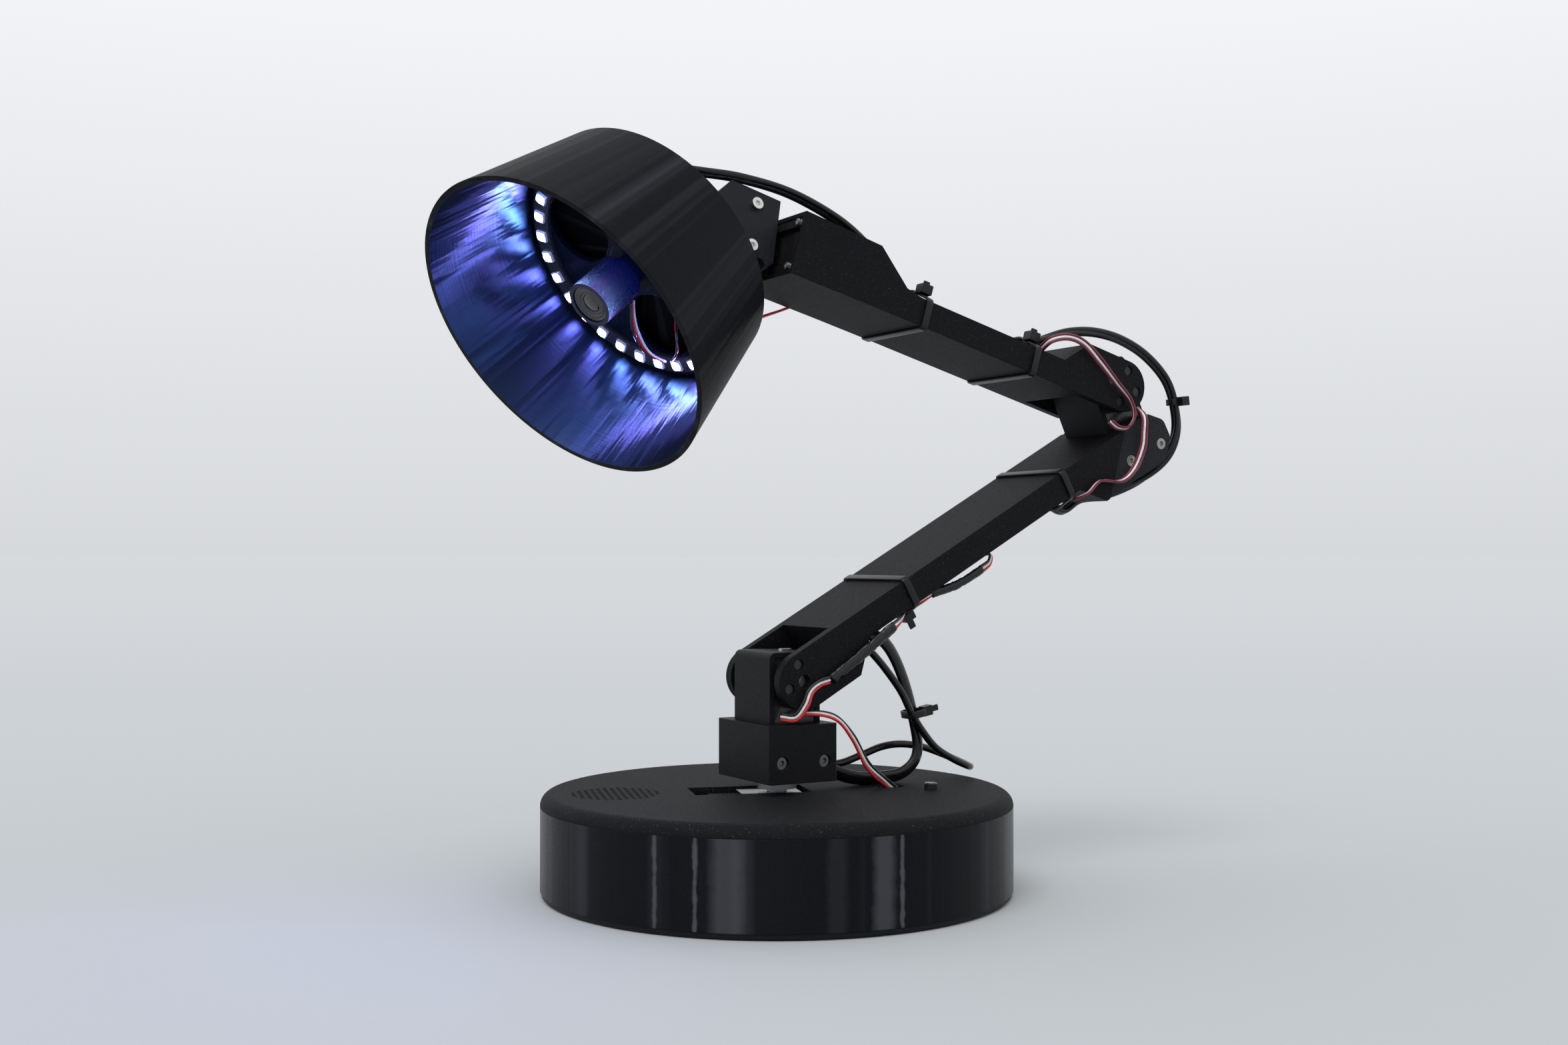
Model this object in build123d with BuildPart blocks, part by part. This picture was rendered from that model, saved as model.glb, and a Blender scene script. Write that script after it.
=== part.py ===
"""Servo robot arm that stands on a round base and carries a lamp shade with a light ring and a camera.

Frame: origin at the centre of the base's underside, +Z up, arm in the XZ plane, elbow towards +X,
lamp towards -X, the arm's open servo faces towards -Y.
"""

import os
from math import cos, pi, radians, sin, tan

from build123d import *

os.makedirs("parts", exist_ok=True)

# Base drum
BASE_R = 104.5
BASE_WALL = 3.0
PLATE_T = 2.5
PLATE_R = 103.8
SEAM_Z = 38.9
LID_TOP = 44.4
LID_T = 3.0
LID_EDGE_R = 5.3
PILLAR_R = 88.0
BASE_TURN = -18.0
GRILLE_X = -72.0
GRILLE_R = 19.5
BUTTON_POLAR = (68.5, -30.7)
BUTTON_R = 2.9

# Printed servo holder, and the servo in it
HOLDER_HALF = 12.7
HOLDER_TOP = 12.4
HOLDER_FOOT = 40.0
HOLDER_Y = 16.0
SERVO_HALF = 10.0
SERVO_TOP = 10.0
SERVO_LONG = 30.0
SERVO_NEAR = 15.5
SERVO_FAR = 13.3
SCREW_DROP = 35.0
SCREW_HALF = 10.65
SCREW_R = 1.5

# Turret box on the yaw horn
BOX_HALF_X = 17.0
BOX_HALF_Y = 24.0
BOX_Z0 = 49.7
BOX_Z1 = 75.0

# Arms
ARM_HALF = 24.5
EAR_T = 4.8
EAR_R = 12.6
BEAM_T = 12.7
SHOULDER_Z = 93.7
LOWER_ANGLE = 29.3
ELBOW_X = 181.4
ELBOW_Z = 231.0
HOLDER_LEAN = -65.2
UPPER_ANGLE = -16.0
HORN_R = 10.0
HORN_PCD_R = 8.0

# Wrist and lamp
WRIST_Y = 10.25
WRIST_X = -192.0
WRIST_LIFT = 1.1
ROLL = 14.7
LAMP_TILT = 56.1
RING_A = 60.6
RING_P = 31.3
RING_R = 50.9
LED_COUNT = 30
LED_PHASE = 184.4
MOUTH_R = 71.8
MOUTH_D = 51.1
BACK_R = 58.8
BACK_D = 12.9
SHADE_WALL = 2.4

# Leads
LEAD_D = 5.0
RIBBON_D = 2.6
THIN_D = 2.5
HEAD_LEAD_D = 3.2
SLEEVE_D = 3.4


def side(y=0.0):
    """Plane parallel to XZ at y, with local x along +X, local y along +Z and its normal towards -Y."""
    return Plane(origin=(0, y, 0), x_dir=(1, 0, 0), z_dir=(0, -1, 0))


def tilted(x, z, angle, y=0.0):
    """Side plane through (x, y, z) whose local x is turned up by angle."""
    direction = (cos(radians(angle)), 0, sin(radians(angle)))
    return Plane(origin=(x, y, z), x_dir=direction, z_dir=(0, -1, 0))


def shifted(plane, along):
    """The same plane moved along its normal."""
    return plane.offset(along)


def save(part, label):
    """Label a finished piece and write its STEP file."""
    part.label = label
    export_step(part, f"parts/{label}.step")


def corner_radii(points):
    """Arc radius for each corner of a lead's route, as large as its two runs allow."""
    radii = []
    for before, here, after in zip(points, points[1:], points[2:]):
        run_in = Vector(*here) - Vector(*before)
        run_out = Vector(*after) - Vector(*here)
        turn = radians(run_in.get_angle(run_out))
        radii.append(0.45 * min(run_in.length, run_out.length) / tan(turn / 2))
    return radii


def lead(points, diameter, label):
    """Round lead swept along a route of straight runs joined by tangent arcs."""
    radii = corner_radii(points)
    with BuildPart() as piece:
        with BuildLine() as path:
            FilletPolyline(*points, radius=radii)
        with BuildSketch(Plane(origin=path.line @ 0, z_dir=path.line % 0)):
            Circle(diameter / 2)
        sweep(path=path.line)
    length = path.wires()[0].length
    share = piece.part.volume / (length * pi * diameter**2 / 4)
    tight = [round(r, 1) for r in radii]
    print(label, "length", round(length), "volume share", round(share, 3), "radii", tight)
    return piece.part


def leads(label, diameter, *routes):
    """One node made of one or more round leads."""
    with BuildPart() as bunch:
        for points in routes:
            add(lead(points, diameter, label))
    save(bunch.part, label)


def polar(radius, angle):
    """Point at a polar position in the base's own turned frame."""
    turned = radians(angle)
    return (radius * cos(turned), radius * sin(turned))


BASE = Plane.XY.rotated((0, 0, BASE_TURN))
PILLARS = [polar(PILLAR_R, a) for a in (45, 135, 225, 315)]
BUTTON_XY = polar(BUTTON_POLAR[0], BUTTON_POLAR[1] - BASE_TURN)

# ---------------------------------------------------------------- base

# Flat plate that closes the drum from below, with a small chamfer at the table
with BuildPart() as bottom_plate:
    with BuildSketch(BASE):
        Circle(PLATE_R)
    extrude(amount=PLATE_T)
    chamfer(bottom_plate.edges().group_by(Axis.Z)[0], length=0.8)
    with Locations(*[BASE * Location((x, y, 0)) for x, y in PILLARS]):
        Cone(3.1, 1.7, 1.6, align=(Align.CENTER, Align.CENTER, Align.MIN), mode=Mode.SUBTRACT)
        Cylinder(1.7, 20, mode=Mode.SUBTRACT)
save(bottom_plate.part, "bottom_plate")

# Countersunk screws that pull the plate up to the lid's pillars
with BuildPart() as base_screws:
    with Locations(*[BASE * Location((x, y, 0.15)) for x, y in PILLARS]):
        Cone(2.9, 1.4, 1.5, align=(Align.CENTER, Align.CENTER, Align.MIN))
        Cylinder(1.4, 11.5, align=(Align.CENTER, Align.CENTER, Align.MIN))
save(base_screws.part, "base_screws")

# Drum wall with a hole for the power inlet at the back
INLET_Z = 20.0
with BuildPart() as base_shell:
    with BuildSketch(BASE.offset(PLATE_T)):
        Circle(BASE_R)
        Circle(BASE_R - BASE_WALL, mode=Mode.SUBTRACT)
    extrude(amount=SEAM_Z - PLATE_T)
    with Locations(BASE * Location((0, BASE_R - 5, INLET_Z), (90, 0, 0))):
        Cylinder(4.6, 20, mode=Mode.SUBTRACT)
save(base_shell.part, "base_shell")

# Barrel power inlet, clamped in the back wall
with BuildPart() as dc_inlet:
    inlet = BASE * Location((0, BASE_R - 2.6, INLET_Z), (90, 0, 0))
    with Locations(inlet):
        Cylinder(4.5, 11, align=(Align.CENTER, Align.CENTER, Align.MIN))
        Cylinder(4.5, 2.1, align=(Align.CENTER, Align.CENTER, Align.MAX))
        Cylinder(2.75, 30, mode=Mode.SUBTRACT)
        Cylinder(1.0, 10, align=(Align.CENTER, Align.CENTER, Align.MIN))
        with Locations((0, 0, 8.5)):
            Cylinder(4.5, 2.5, align=(Align.CENTER, Align.CENTER, Align.MIN))
save(dc_inlet.part, "dc_inlet")

# Lid: rounded edge, locating ring, pillars, servo slot, lead hole, speaker grille, button hole
SLOT_X = (-38.5, 13.0)
SLOT_Y = 12.0
LEAD_HOLE = (52.0, -1.4)
with BuildPart() as base_lid:
    with BuildSketch(BASE.offset(SEAM_Z)):
        Circle(BASE_R)
    extrude(amount=LID_TOP - SEAM_Z)
    fillet(base_lid.edges().group_by(Axis.Z)[-1], radius=LID_EDGE_R)
    with BuildSketch(BASE.offset(SEAM_Z)):
        Circle(BASE_R - BASE_WALL - 2.3)
    extrude(amount=LID_TOP - LID_T - SEAM_Z, mode=Mode.SUBTRACT)
    with BuildSketch(BASE.offset(SEAM_Z - 4)):
        Circle(BASE_R - BASE_WALL - 0.15)
        Circle(BASE_R - BASE_WALL - 2.3, mode=Mode.SUBTRACT)
    extrude(amount=4)
    with BuildSketch(BASE.offset(PLATE_T)):
        with Locations(*PILLARS):
            Circle(4.5)
    extrude(amount=LID_TOP - LID_T - PLATE_T)
    with BuildSketch(BASE.offset(PLATE_T)):
        with Locations(*PILLARS):
            Circle(1.4)
    extrude(amount=14, mode=Mode.SUBTRACT)
    with BuildSketch(BASE.offset(36.6)):
        for end, inner in ((-37.3, -30.2), (10.2, 17.3)):
            with Locations(((end + inner) / 2, 0)):
                Rectangle(abs(inner - end), 20)
    extrude(amount=LID_TOP - LID_T - 36.6)
    with BuildSketch(BASE.offset(LID_TOP - LID_T - 8)):
        with Locations(((SLOT_X[0] + SLOT_X[1]) / 2, 0)):
            Rectangle(SLOT_X[1] - SLOT_X[0], 2 * SLOT_Y)
    extrude(amount=20, mode=Mode.SUBTRACT)
    with BuildSketch(BASE.offset(36.6)):
        for end, inner in ((-43.5, -38.5), (13.0, 19.0)):
            with Locations(((end + inner) / 2, 0)):
                Rectangle(abs(inner - end), 24)
    extrude(amount=LID_TOP - LID_T - 36.6)
    with BuildSketch(BASE.offset(LID_TOP - 8)):
        with Locations(LEAD_HOLE):
            RectangleRounded(12, 8, 3.5)
        with Locations(BUTTON_XY):
            Circle(BUTTON_R + 0.15)
    extrude(amount=10, mode=Mode.SUBTRACT)
    with BuildSketch(BASE.offset(LID_TOP - 4)):
        with Locations((GRILLE_X, 0)):
            with HexLocations(1.75, 13, 13):
                Circle(0.95)
            Circle(GRILLE_R, mode=Mode.INTERSECT)
    extrude(amount=5, mode=Mode.SUBTRACT)
save(base_lid.part, "base_lid")

# Loudspeaker under the grille
with BuildPart() as speaker_frame:
    with Locations(BASE * Location((GRILLE_X, 0, LID_TOP - LID_T))):
        Cylinder(20, 2.0, align=(Align.CENTER, Align.CENTER, Align.MAX))
        Cylinder(17.5, 2.0, align=(Align.CENTER, Align.CENTER, Align.MAX), mode=Mode.SUBTRACT)
    with Locations(BASE * Location((GRILLE_X, 0, LID_TOP - LID_T - 2))):
        Cone(11, 20, 7, align=(Align.CENTER, Align.CENTER, Align.MAX))
        Cone(9.5, 18.5, 7, align=(Align.CENTER, Align.CENTER, Align.MAX), mode=Mode.SUBTRACT)
    with Locations(BASE * Location((GRILLE_X, 0, LID_TOP - LID_T - 9))):
        Cylinder(12, 8, align=(Align.CENTER, Align.CENTER, Align.MAX))
save(speaker_frame.part, "speaker_frame")

with BuildPart() as speaker_cone:
    with Locations(BASE * Location((GRILLE_X, 0, LID_TOP - LID_T - 2.2))):
        Cone(6, 17.2, 5, align=(Align.CENTER, Align.CENTER, Align.MAX))
        Cone(5, 16.4, 5, align=(Align.CENTER, Align.CENTER, Align.MAX), mode=Mode.SUBTRACT)
    with Locations(BASE * Location((GRILLE_X, 0, LID_TOP - LID_T - 7.2))):
        Cylinder(6, 0.8, align=(Align.CENTER, Align.CENTER, Align.MIN))
save(speaker_cone.part, "speaker_cone")

# Control board on the bottom plate, with its chips and sockets
BOARD_Z = 8.5
with BuildPart() as control_board:
    with BuildSketch(BASE.offset(BOARD_Z)):
        with Locations((0, -58)):
            RectangleRounded(86, 50, 3)
            with GridLocations(78, 42, 2, 2):
                Circle(1.6, mode=Mode.SUBTRACT)
    extrude(amount=1.6)
save(control_board.part, "control_board")

with BuildPart() as board_posts:
    with BuildSketch(BASE.offset(PLATE_T)):
        with Locations((0, -58)):
            with GridLocations(78, 42, 2, 2):
                Circle(3)
    extrude(amount=BOARD_Z - PLATE_T)
save(board_posts.part, "board_posts")

with BuildPart() as board_parts:
    with BuildSketch(BASE.offset(BOARD_Z + 1.6)):
        with Locations((0, -58)):
            Rectangle(15, 15)
        with Locations((-24, -52)):
            Rectangle(10, 12)
        with Locations((25, -60)):
            Rectangle(13, 9)
    extrude(amount=2.2)
    with BuildSketch(BASE.offset(BOARD_Z + 1.6)):
        with Locations((0, -38.5)):
            with GridLocations(13, 10, 5, 1):
                Rectangle(10, 6)
    extrude(amount=9)
save(board_parts.part, "board_parts")

# Push button: cap above the lid, switch body clipped under it
with BuildPart() as button_cap:
    with Locations(BASE * Location((*BUTTON_XY, LID_TOP - 3.4))):
        Cylinder(BUTTON_R, 6.4, align=(Align.CENTER, Align.CENTER, Align.MIN))
    chamfer(button_cap.edges().group_by(Axis.Z)[-1], length=0.4)
save(button_cap.part, "button_cap")

with BuildPart() as button_switch:
    with Locations(BASE * Location((*BUTTON_XY, LID_TOP - LID_T))):
        Box(12, 12, 7, align=(Align.CENTER, Align.CENTER, Align.MAX))
        Cylinder(BUTTON_R + 0.15, 2.0, align=(Align.CENTER, Align.CENTER, Align.MAX), mode=Mode.SUBTRACT)
save(button_switch.part, "button_switch")


def servo_case(frame):
    """Metal middle of a servo. The frame's origin is on the shaft at the near face, local y up."""
    with BuildPart() as case:
        with BuildSketch(frame.offset(-5)):
            with Locations((0, (SERVO_TOP - SERVO_LONG) / 2)):
                Rectangle(2 * SERVO_HALF, SERVO_TOP + SERVO_LONG)
        extrude(amount=5 - 0.6)
        with BuildSketch(frame.offset(-21.8)):
            with Locations((0, (SERVO_TOP - SERVO_LONG) / 2)):
                Rectangle(2 * SERVO_HALF, SERVO_TOP + SERVO_LONG)
        extrude(amount=16.8)
        with BuildSketch(frame.offset(-9.5)):
            with Locations((0, SERVO_TOP + 1.8)):
                Rectangle(5, 3.6)
        extrude(amount=2.5)
    return case.part


def servo_covers(frame):
    """Black end covers of a servo: a thin face plate with the shaft boss, and the deep rear cover."""
    with BuildPart() as covers:
        with BuildSketch(frame.offset(-0.6)):
            with Locations((0, (SERVO_TOP - SERVO_LONG) / 2)):
                Rectangle(2 * SERVO_HALF, SERVO_TOP + SERVO_LONG)
        extrude(amount=0.6)
        with BuildSketch(frame):
            Circle(6.5)
        extrude(amount=0.9)
        with BuildSketch(frame.offset(-(SERVO_NEAR + SERVO_FAR))):
            with Locations((0, (SERVO_TOP - SERVO_LONG) / 2)):
                Rectangle(2 * SERVO_HALF, SERVO_TOP + SERVO_LONG)
        extrude(amount=7.0)
    return covers.part


# Yaw servo under the lid, its shaft up through the slot
YAW_TOP = 43.6
YAW_FRAME = Plane(origin=(0, 0, YAW_TOP), x_dir=BASE.y_dir, z_dir=(0, 0, 1))
with BuildPart() as yaw_servo_case:
    with BuildSketch(YAW_FRAME.offset(-28)):
        with Locations((0, 10)):
            Rectangle(20, 40)
    extrude(amount=22.5)
    with BuildSketch(YAW_FRAME.offset(-9.6)):
        with Locations((0, 10)):
            Rectangle(20, 54.4)
        with Locations((0, 10)):
            with GridLocations(10, 49.5, 2, 2):
                Circle(2.2, mode=Mode.SUBTRACT)
    extrude(amount=2.5)
save(yaw_servo_case.part, "yaw_servo_case")

with BuildPart() as yaw_servo_covers:
    with BuildSketch(YAW_FRAME.offset(-5.5)):
        with Locations((0, 10)):
            Rectangle(20, 40)
    extrude(amount=4.0)
    with BuildSketch(YAW_FRAME.offset(-1.5)):
        with Locations((0, 3.5)):
            Rectangle(20, 27)
    extrude(amount=1.5)
    with BuildSketch(YAW_FRAME.offset(-37)):
        with Locations((0, 10)):
            Rectangle(20, 40)
    extrude(amount=9.0)
save(yaw_servo_covers.part, "yaw_servo_covers")

with BuildPart() as yaw_servo_screws:
    with BuildSketch(YAW_FRAME.offset(-11.6)):
        with Locations((0, 10)):
            with GridLocations(10, 49.5, 2, 2):
                Circle(3.0)
    extrude(amount=2.0)
    with BuildSketch(YAW_FRAME.offset(-9.6)):
        with Locations((0, 10)):
            with GridLocations(10, 49.5, 2, 2):
                Circle(2.1)
    extrude(amount=2.5)
save(yaw_servo_screws.part, "yaw_servo_screws")

# ---------------------------------------------------------------- turret

with BuildPart() as yaw_horn:
    with BuildSketch(Plane.XY.offset(YAW_TOP + 0.1)):
        Circle(4.5)
    extrude(amount=1.7)
    with BuildSketch(Plane.XY.offset(YAW_TOP + 1.6)):
        Circle(8.8)
    extrude(amount=BOX_Z0 - YAW_TOP - 1.6)
save(yaw_horn.part, "yaw_horn")

with BuildPart() as yaw_box:
    with BuildSketch(Plane.XY.offset(BOX_Z0)):
        Rectangle(2 * BOX_HALF_X, 2 * BOX_HALF_Y)
    extrude(amount=BOX_Z1 - BOX_Z0)
    chamfer(yaw_box.edges().filter_by(Axis.Z), length=0.9)
    with BuildSketch(Plane.XY.offset(SHOULDER_Z - HOLDER_FOOT)):
        Rectangle(2 * HOLDER_HALF + 0.1, 2 * HOLDER_Y + 0.1)
    extrude(amount=40, mode=Mode.SUBTRACT)
    for sign in (-1, 1):
        with BuildSketch(side(sign * (BOX_HALF_Y + 1))):
            with Locations((-SCREW_HALF, SHOULDER_Z - SCREW_DROP), (SCREW_HALF, SHOULDER_Z - SCREW_DROP)):
                Circle(2.9)
        extrude(amount=sign * 4.0, mode=Mode.SUBTRACT)
        with BuildSketch(side(sign * (BOX_HALF_Y + 1))):
            with Locations((-SCREW_HALF, SHOULDER_Z - SCREW_DROP), (SCREW_HALF, SHOULDER_Z - SCREW_DROP)):
                Circle(SCREW_R + 0.02)
        extrude(amount=sign * 12.0, mode=Mode.SUBTRACT)
    with BuildSketch(Plane.YZ.offset(BOX_HALF_X - 6)):
        with Locations((0, 55.5)):
            SlotCenterToCenter(16, 6.4)
    extrude(amount=10, mode=Mode.SUBTRACT)
save(yaw_box.part, "yaw_box")


def holder(frame):
    """Printed sleeve round a servo, open on the near side, with a solid foot for its side screws."""
    with BuildPart() as sleeve:
        with BuildSketch(frame.offset(-HOLDER_Y)):
            with Locations((0, (HOLDER_TOP - HOLDER_FOOT) / 2)):
                Rectangle(2 * HOLDER_HALF, HOLDER_TOP + HOLDER_FOOT)
        extrude(amount=2 * HOLDER_Y)
        fillet(sleeve.edges().filter_by(Axis.Y).sort_by(Axis(frame.origin, frame.y_dir))[-2:], 3.0)
        with BuildSketch(frame.offset(-SERVO_FAR - 0.1)):
            with Locations((0, (SERVO_TOP - SERVO_LONG) / 2)):
                Rectangle(2 * SERVO_HALF + 0.3, SERVO_TOP + SERVO_LONG + 0.3)
        extrude(amount=SERVO_FAR + HOLDER_Y + 1, mode=Mode.SUBTRACT)
        with BuildSketch(frame.offset(SERVO_NEAR - 9.6)):
            with Locations((0, SERVO_TOP + 2)):
                Rectangle(5.4, 6)
        extrude(amount=2.8, mode=Mode.SUBTRACT)
        with BuildSketch(frame.offset(-HOLDER_Y - 3.4)):
            Circle(6.0)
        extrude(amount=3.4)
        with BuildSketch(frame.offset(-HOLDER_Y - 3.5)):
            Circle(2.05)
        extrude(amount=7, mode=Mode.SUBTRACT)
        for sign in (-1, 1):
            with BuildSketch(frame.offset(sign * (HOLDER_Y + 1))):
                with Locations((-SCREW_HALF, -SCREW_DROP), (SCREW_HALF, -SCREW_DROP)):
                    Circle(SCREW_R + 0.02)
            extrude(amount=-sign * 9.0, mode=Mode.SUBTRACT)
    return sleeve.part


def side_screws(frame, seat, reach):
    """Four socket-head screws, two a side, into a holder's foot."""
    with BuildPart() as screws:
        for sign in (-1, 1):
            with BuildSketch(frame.offset(sign * seat)):
                with Locations((-SCREW_HALF, -SCREW_DROP), (SCREW_HALF, -SCREW_DROP)):
                    Circle(2.75)
            extrude(amount=sign * 1.9)
            with BuildSketch(frame.offset(sign * seat)):
                with Locations((-SCREW_HALF, -SCREW_DROP), (SCREW_HALF, -SCREW_DROP)):
                    Circle(SCREW_R)
            extrude(amount=-sign * reach)
        for sign in (-1, 1):
            with BuildSketch(frame.offset(sign * (seat + 0.9))):
                with Locations((-SCREW_HALF, -SCREW_DROP), (SCREW_HALF, -SCREW_DROP)):
                    RegularPolygon(1.35, 6)
            extrude(amount=sign * 2.0, mode=Mode.SUBTRACT)
    return screws.part


SHOULDER = tilted(0, SHOULDER_Z, 0)
ELBOW_HOLDER = tilted(ELBOW_X, ELBOW_Z, HOLDER_LEAN + 90)

save(holder(SHOULDER), "shoulder_holder")
save(servo_case(shifted(SHOULDER, SERVO_NEAR)), "shoulder_servo_case")
save(servo_covers(shifted(SHOULDER, SERVO_NEAR)), "shoulder_servo_covers")
save(side_screws(SHOULDER, BOX_HALF_Y - 3.0, 10.5), "yaw_box_screws")

# ---------------------------------------------------------------- lower arm


def horn(frame):
    """Round metal servo horn with its hub, against an ear's inner face."""
    with BuildPart() as disc:
        with BuildSketch(frame.offset(SERVO_NEAR + 0.95)):
            Circle(5.0)
        extrude(amount=1.0)
        with BuildSketch(frame.offset(SERVO_NEAR + 1.6)):
            Circle(HORN_R)
        extrude(amount=ARM_HALF - EAR_T - SERVO_NEAR - 1.6)
    return disc.part


def horn_screws(frame, angles, head_out):
    """Screws through the near ear into the horn."""
    with BuildPart() as screws:
        with BuildSketch(frame.offset(ARM_HALF - 2.0 + head_out)):
            for angle in angles:
                with Locations(polar(HORN_PCD_R, angle)):
                    Circle(2.2)
        extrude(amount=-1.6)
        with BuildSketch(frame.offset(ARM_HALF - 3.6 + head_out)):
            for angle in angles:
                with Locations(polar(HORN_PCD_R, angle)):
                    Circle(1.2)
        extrude(amount=-1.2 - head_out)
    return screws.part


def screw_seats(frame, angles):
    """Cutter for the counterbored horn screw holes in a near ear."""
    with BuildPart() as cutter:
        with BuildSketch(frame.offset(ARM_HALF + 1)):
            for angle in angles:
                with Locations(polar(HORN_PCD_R, angle)):
                    Circle(2.35)
        extrude(amount=-4.6)
        with BuildSketch(frame.offset(ARM_HALF + 1)):
            for angle in angles:
                with Locations(polar(HORN_PCD_R, angle)):
                    Circle(1.25)
        extrude(amount=-7)
    return cutter.part


def pivot_bolt(frame):
    """Shoulder bolt through the far ear into the holder's boss."""
    with BuildPart() as bolt:
        with BuildSketch(frame.offset(-HOLDER_Y + 2.4)):
            Circle(2.0)
        extrude(amount=-(ARM_HALF - HOLDER_Y + 2.4))
        with BuildSketch(frame.offset(-ARM_HALF)):
            Circle(4.0)
        extrude(amount=-2.2)
        with BuildSketch(frame.offset(-ARM_HALF - 0.9)):
            RegularPolygon(1.5, 6)
        extrude(amount=-3, mode=Mode.SUBTRACT)
    return bolt.part


SHOULDER_SEATS = (112, 203)
ELBOW_SEATS = (72, 160, 250, 342)
LOWER = tilted(0, SHOULDER_Z, LOWER_ANGLE)
LOWER_SIDE = [
    (0, EAR_R),
    (215.4, EAR_R),
    (190.1, -EAR_R),
    (188.0, -EAR_R),
    (176.0, 0),
    (38.6, 0),
    (26.2, -EAR_R),
    (0, -EAR_R),
]

with BuildPart() as lower_arm_beam:
    with BuildSketch(LOWER.offset(-ARM_HALF)):
        Polygon(*LOWER_SIDE, align=None)
        Circle(EAR_R)
    extrude(amount=2 * ARM_HALF)
    with BuildSketch(LOWER.offset(-ARM_HALF + EAR_T)):
        Polygon((-20, -20), (24, -20), (24, 20), (-20, 20), align=None)
    extrude(amount=2 * (ARM_HALF - EAR_T), mode=Mode.SUBTRACT)
    with BuildSketch(LOWER.offset(-ARM_HALF + 2.6)):
        Polygon((192, 2.4), (230, 2.4), (230, 10.3), (192, 10.3), align=None)
    extrude(amount=2 * (ARM_HALF - 2.6), mode=Mode.SUBTRACT)
    with BuildSketch(ELBOW_HOLDER.offset(-HOLDER_Y - 0.05)):
        with Locations((0, -20)):
            Rectangle(2 * HOLDER_HALF + 0.1, 40.0)
    extrude(amount=2 * HOLDER_Y + 0.1, mode=Mode.SUBTRACT)
    with BuildSketch(LOWER):
        Circle(3.0)
    extrude(amount=40, mode=Mode.SUBTRACT)
    with BuildSketch(LOWER):
        Circle(2.1)
    extrude(amount=-40, mode=Mode.SUBTRACT)
    add(screw_seats(SHOULDER, SHOULDER_SEATS), mode=Mode.SUBTRACT)
save(lower_arm_beam.part, "lower_arm_beam")

save(horn(SHOULDER), "shoulder_horn")
save(horn_screws(SHOULDER, SHOULDER_SEATS, 0.9), "shoulder_horn_screws")
save(pivot_bolt(SHOULDER), "shoulder_pivot_bolt")

# Socket at the arm's upper end that clamps the elbow servo's holder
SOCKET_HALF = 23.5
with BuildPart() as elbow_socket:
    with BuildSketch(LOWER.offset(-SOCKET_HALF)):
        Polygon(
            (216.2, EAR_R),
            (232, EAR_R),
            (240.2, 5),
            (240.2, -5),
            (232, -EAR_R),
            (190.9, -EAR_R),
            align=None,
        )
    extrude(amount=2 * SOCKET_HALF)
    fillet(elbow_socket.edges().filter_by(Axis.Y).sort_by(Axis(LOWER.origin, LOWER.x_dir))[-4:], 5.0)
    with BuildSketch(LOWER.offset(-ARM_HALF + 2.8)):
        Polygon((195, 2.6), (214, 2.6), (214, 10.1), (195, 10.1), align=None)
    extrude(amount=2 * (ARM_HALF - 2.8))
    with BuildSketch(ELBOW_HOLDER.offset(-HOLDER_Y - 0.05)):
        with Locations((0, -20)):
            Rectangle(2 * HOLDER_HALF + 0.1, 40.0)
    extrude(amount=2 * HOLDER_Y + 0.1, mode=Mode.SUBTRACT)
    for sign in (-1, 1):
        with BuildSketch(ELBOW_HOLDER.offset(sign * (SOCKET_HALF + 1))):
            with Locations((-SCREW_HALF, -SCREW_DROP), (SCREW_HALF, -SCREW_DROP)):
                Circle(2.9)
        extrude(amount=-sign * 3.0, mode=Mode.SUBTRACT)
        with BuildSketch(ELBOW_HOLDER.offset(sign * (SOCKET_HALF + 1))):
            with Locations((-SCREW_HALF, -SCREW_DROP), (SCREW_HALF, -SCREW_DROP)):
                Circle(SCREW_R + 0.02)
        extrude(amount=-sign * 12, mode=Mode.SUBTRACT)
save(elbow_socket.part, "elbow_socket")

save(holder(ELBOW_HOLDER), "elbow_holder")
save(servo_case(shifted(ELBOW_HOLDER, SERVO_NEAR)), "elbow_servo_case")
save(servo_covers(shifted(ELBOW_HOLDER, SERVO_NEAR)), "elbow_servo_covers")
save(side_screws(ELBOW_HOLDER, SOCKET_HALF - 2.0, 11.0), "elbow_socket_screws")

# Two cable ties round the beam and the leads under it
LOWER_TIES = (67.0, 170.0)
UPPER_TIES = (-120.0, -55.5)
LEAD_ROOM = 6.0


def beam_tie(frame, at, top, bottom, lead_side):
    """Cable tie round a beam and the leads on its lead side, with its head and cut tail beside them."""
    face = bottom if lead_side < 0 else top
    plain = top if lead_side < 0 else bottom
    outer = face + lead_side * LEAD_ROOM
    section = Plane(origin=frame.from_local_coords((at, 0, 0)), x_dir=frame.z_dir, z_dir=frame.x_dir)
    loop = [
        (-ARM_HALF - 0.05, plain - lead_side * 0.05),
        (ARM_HALF + 0.05, plain - lead_side * 0.05),
        (ARM_HALF + 0.05, face),
        (10.0, outer),
        (-10.0, outer),
        (-ARM_HALF - 0.05, face),
    ]
    with BuildPart() as tie:
        with BuildSketch(section.offset(-1.8)):
            Polygon(*[(x, -y) for x, y in loop], align=None)
            offset(amount=1.2)
            Polygon(*[(x, -y) for x, y in loop], align=None, mode=Mode.SUBTRACT)
        extrude(amount=3.6)
        with BuildSketch(section.offset(-3.2)):
            with Locations((16.5, -(face + lead_side * 6.6))):
                Rectangle(6.0, 4.6)
        extrude(amount=6.4)
    return tie.part


with BuildPart() as lower_arm_ties:
    for at in LOWER_TIES:
        add(beam_tie(LOWER, at, BEAM_T, 0.0, -1))
save(lower_arm_ties.part, "lower_arm_ties")

# ---------------------------------------------------------------- upper arm

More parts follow.
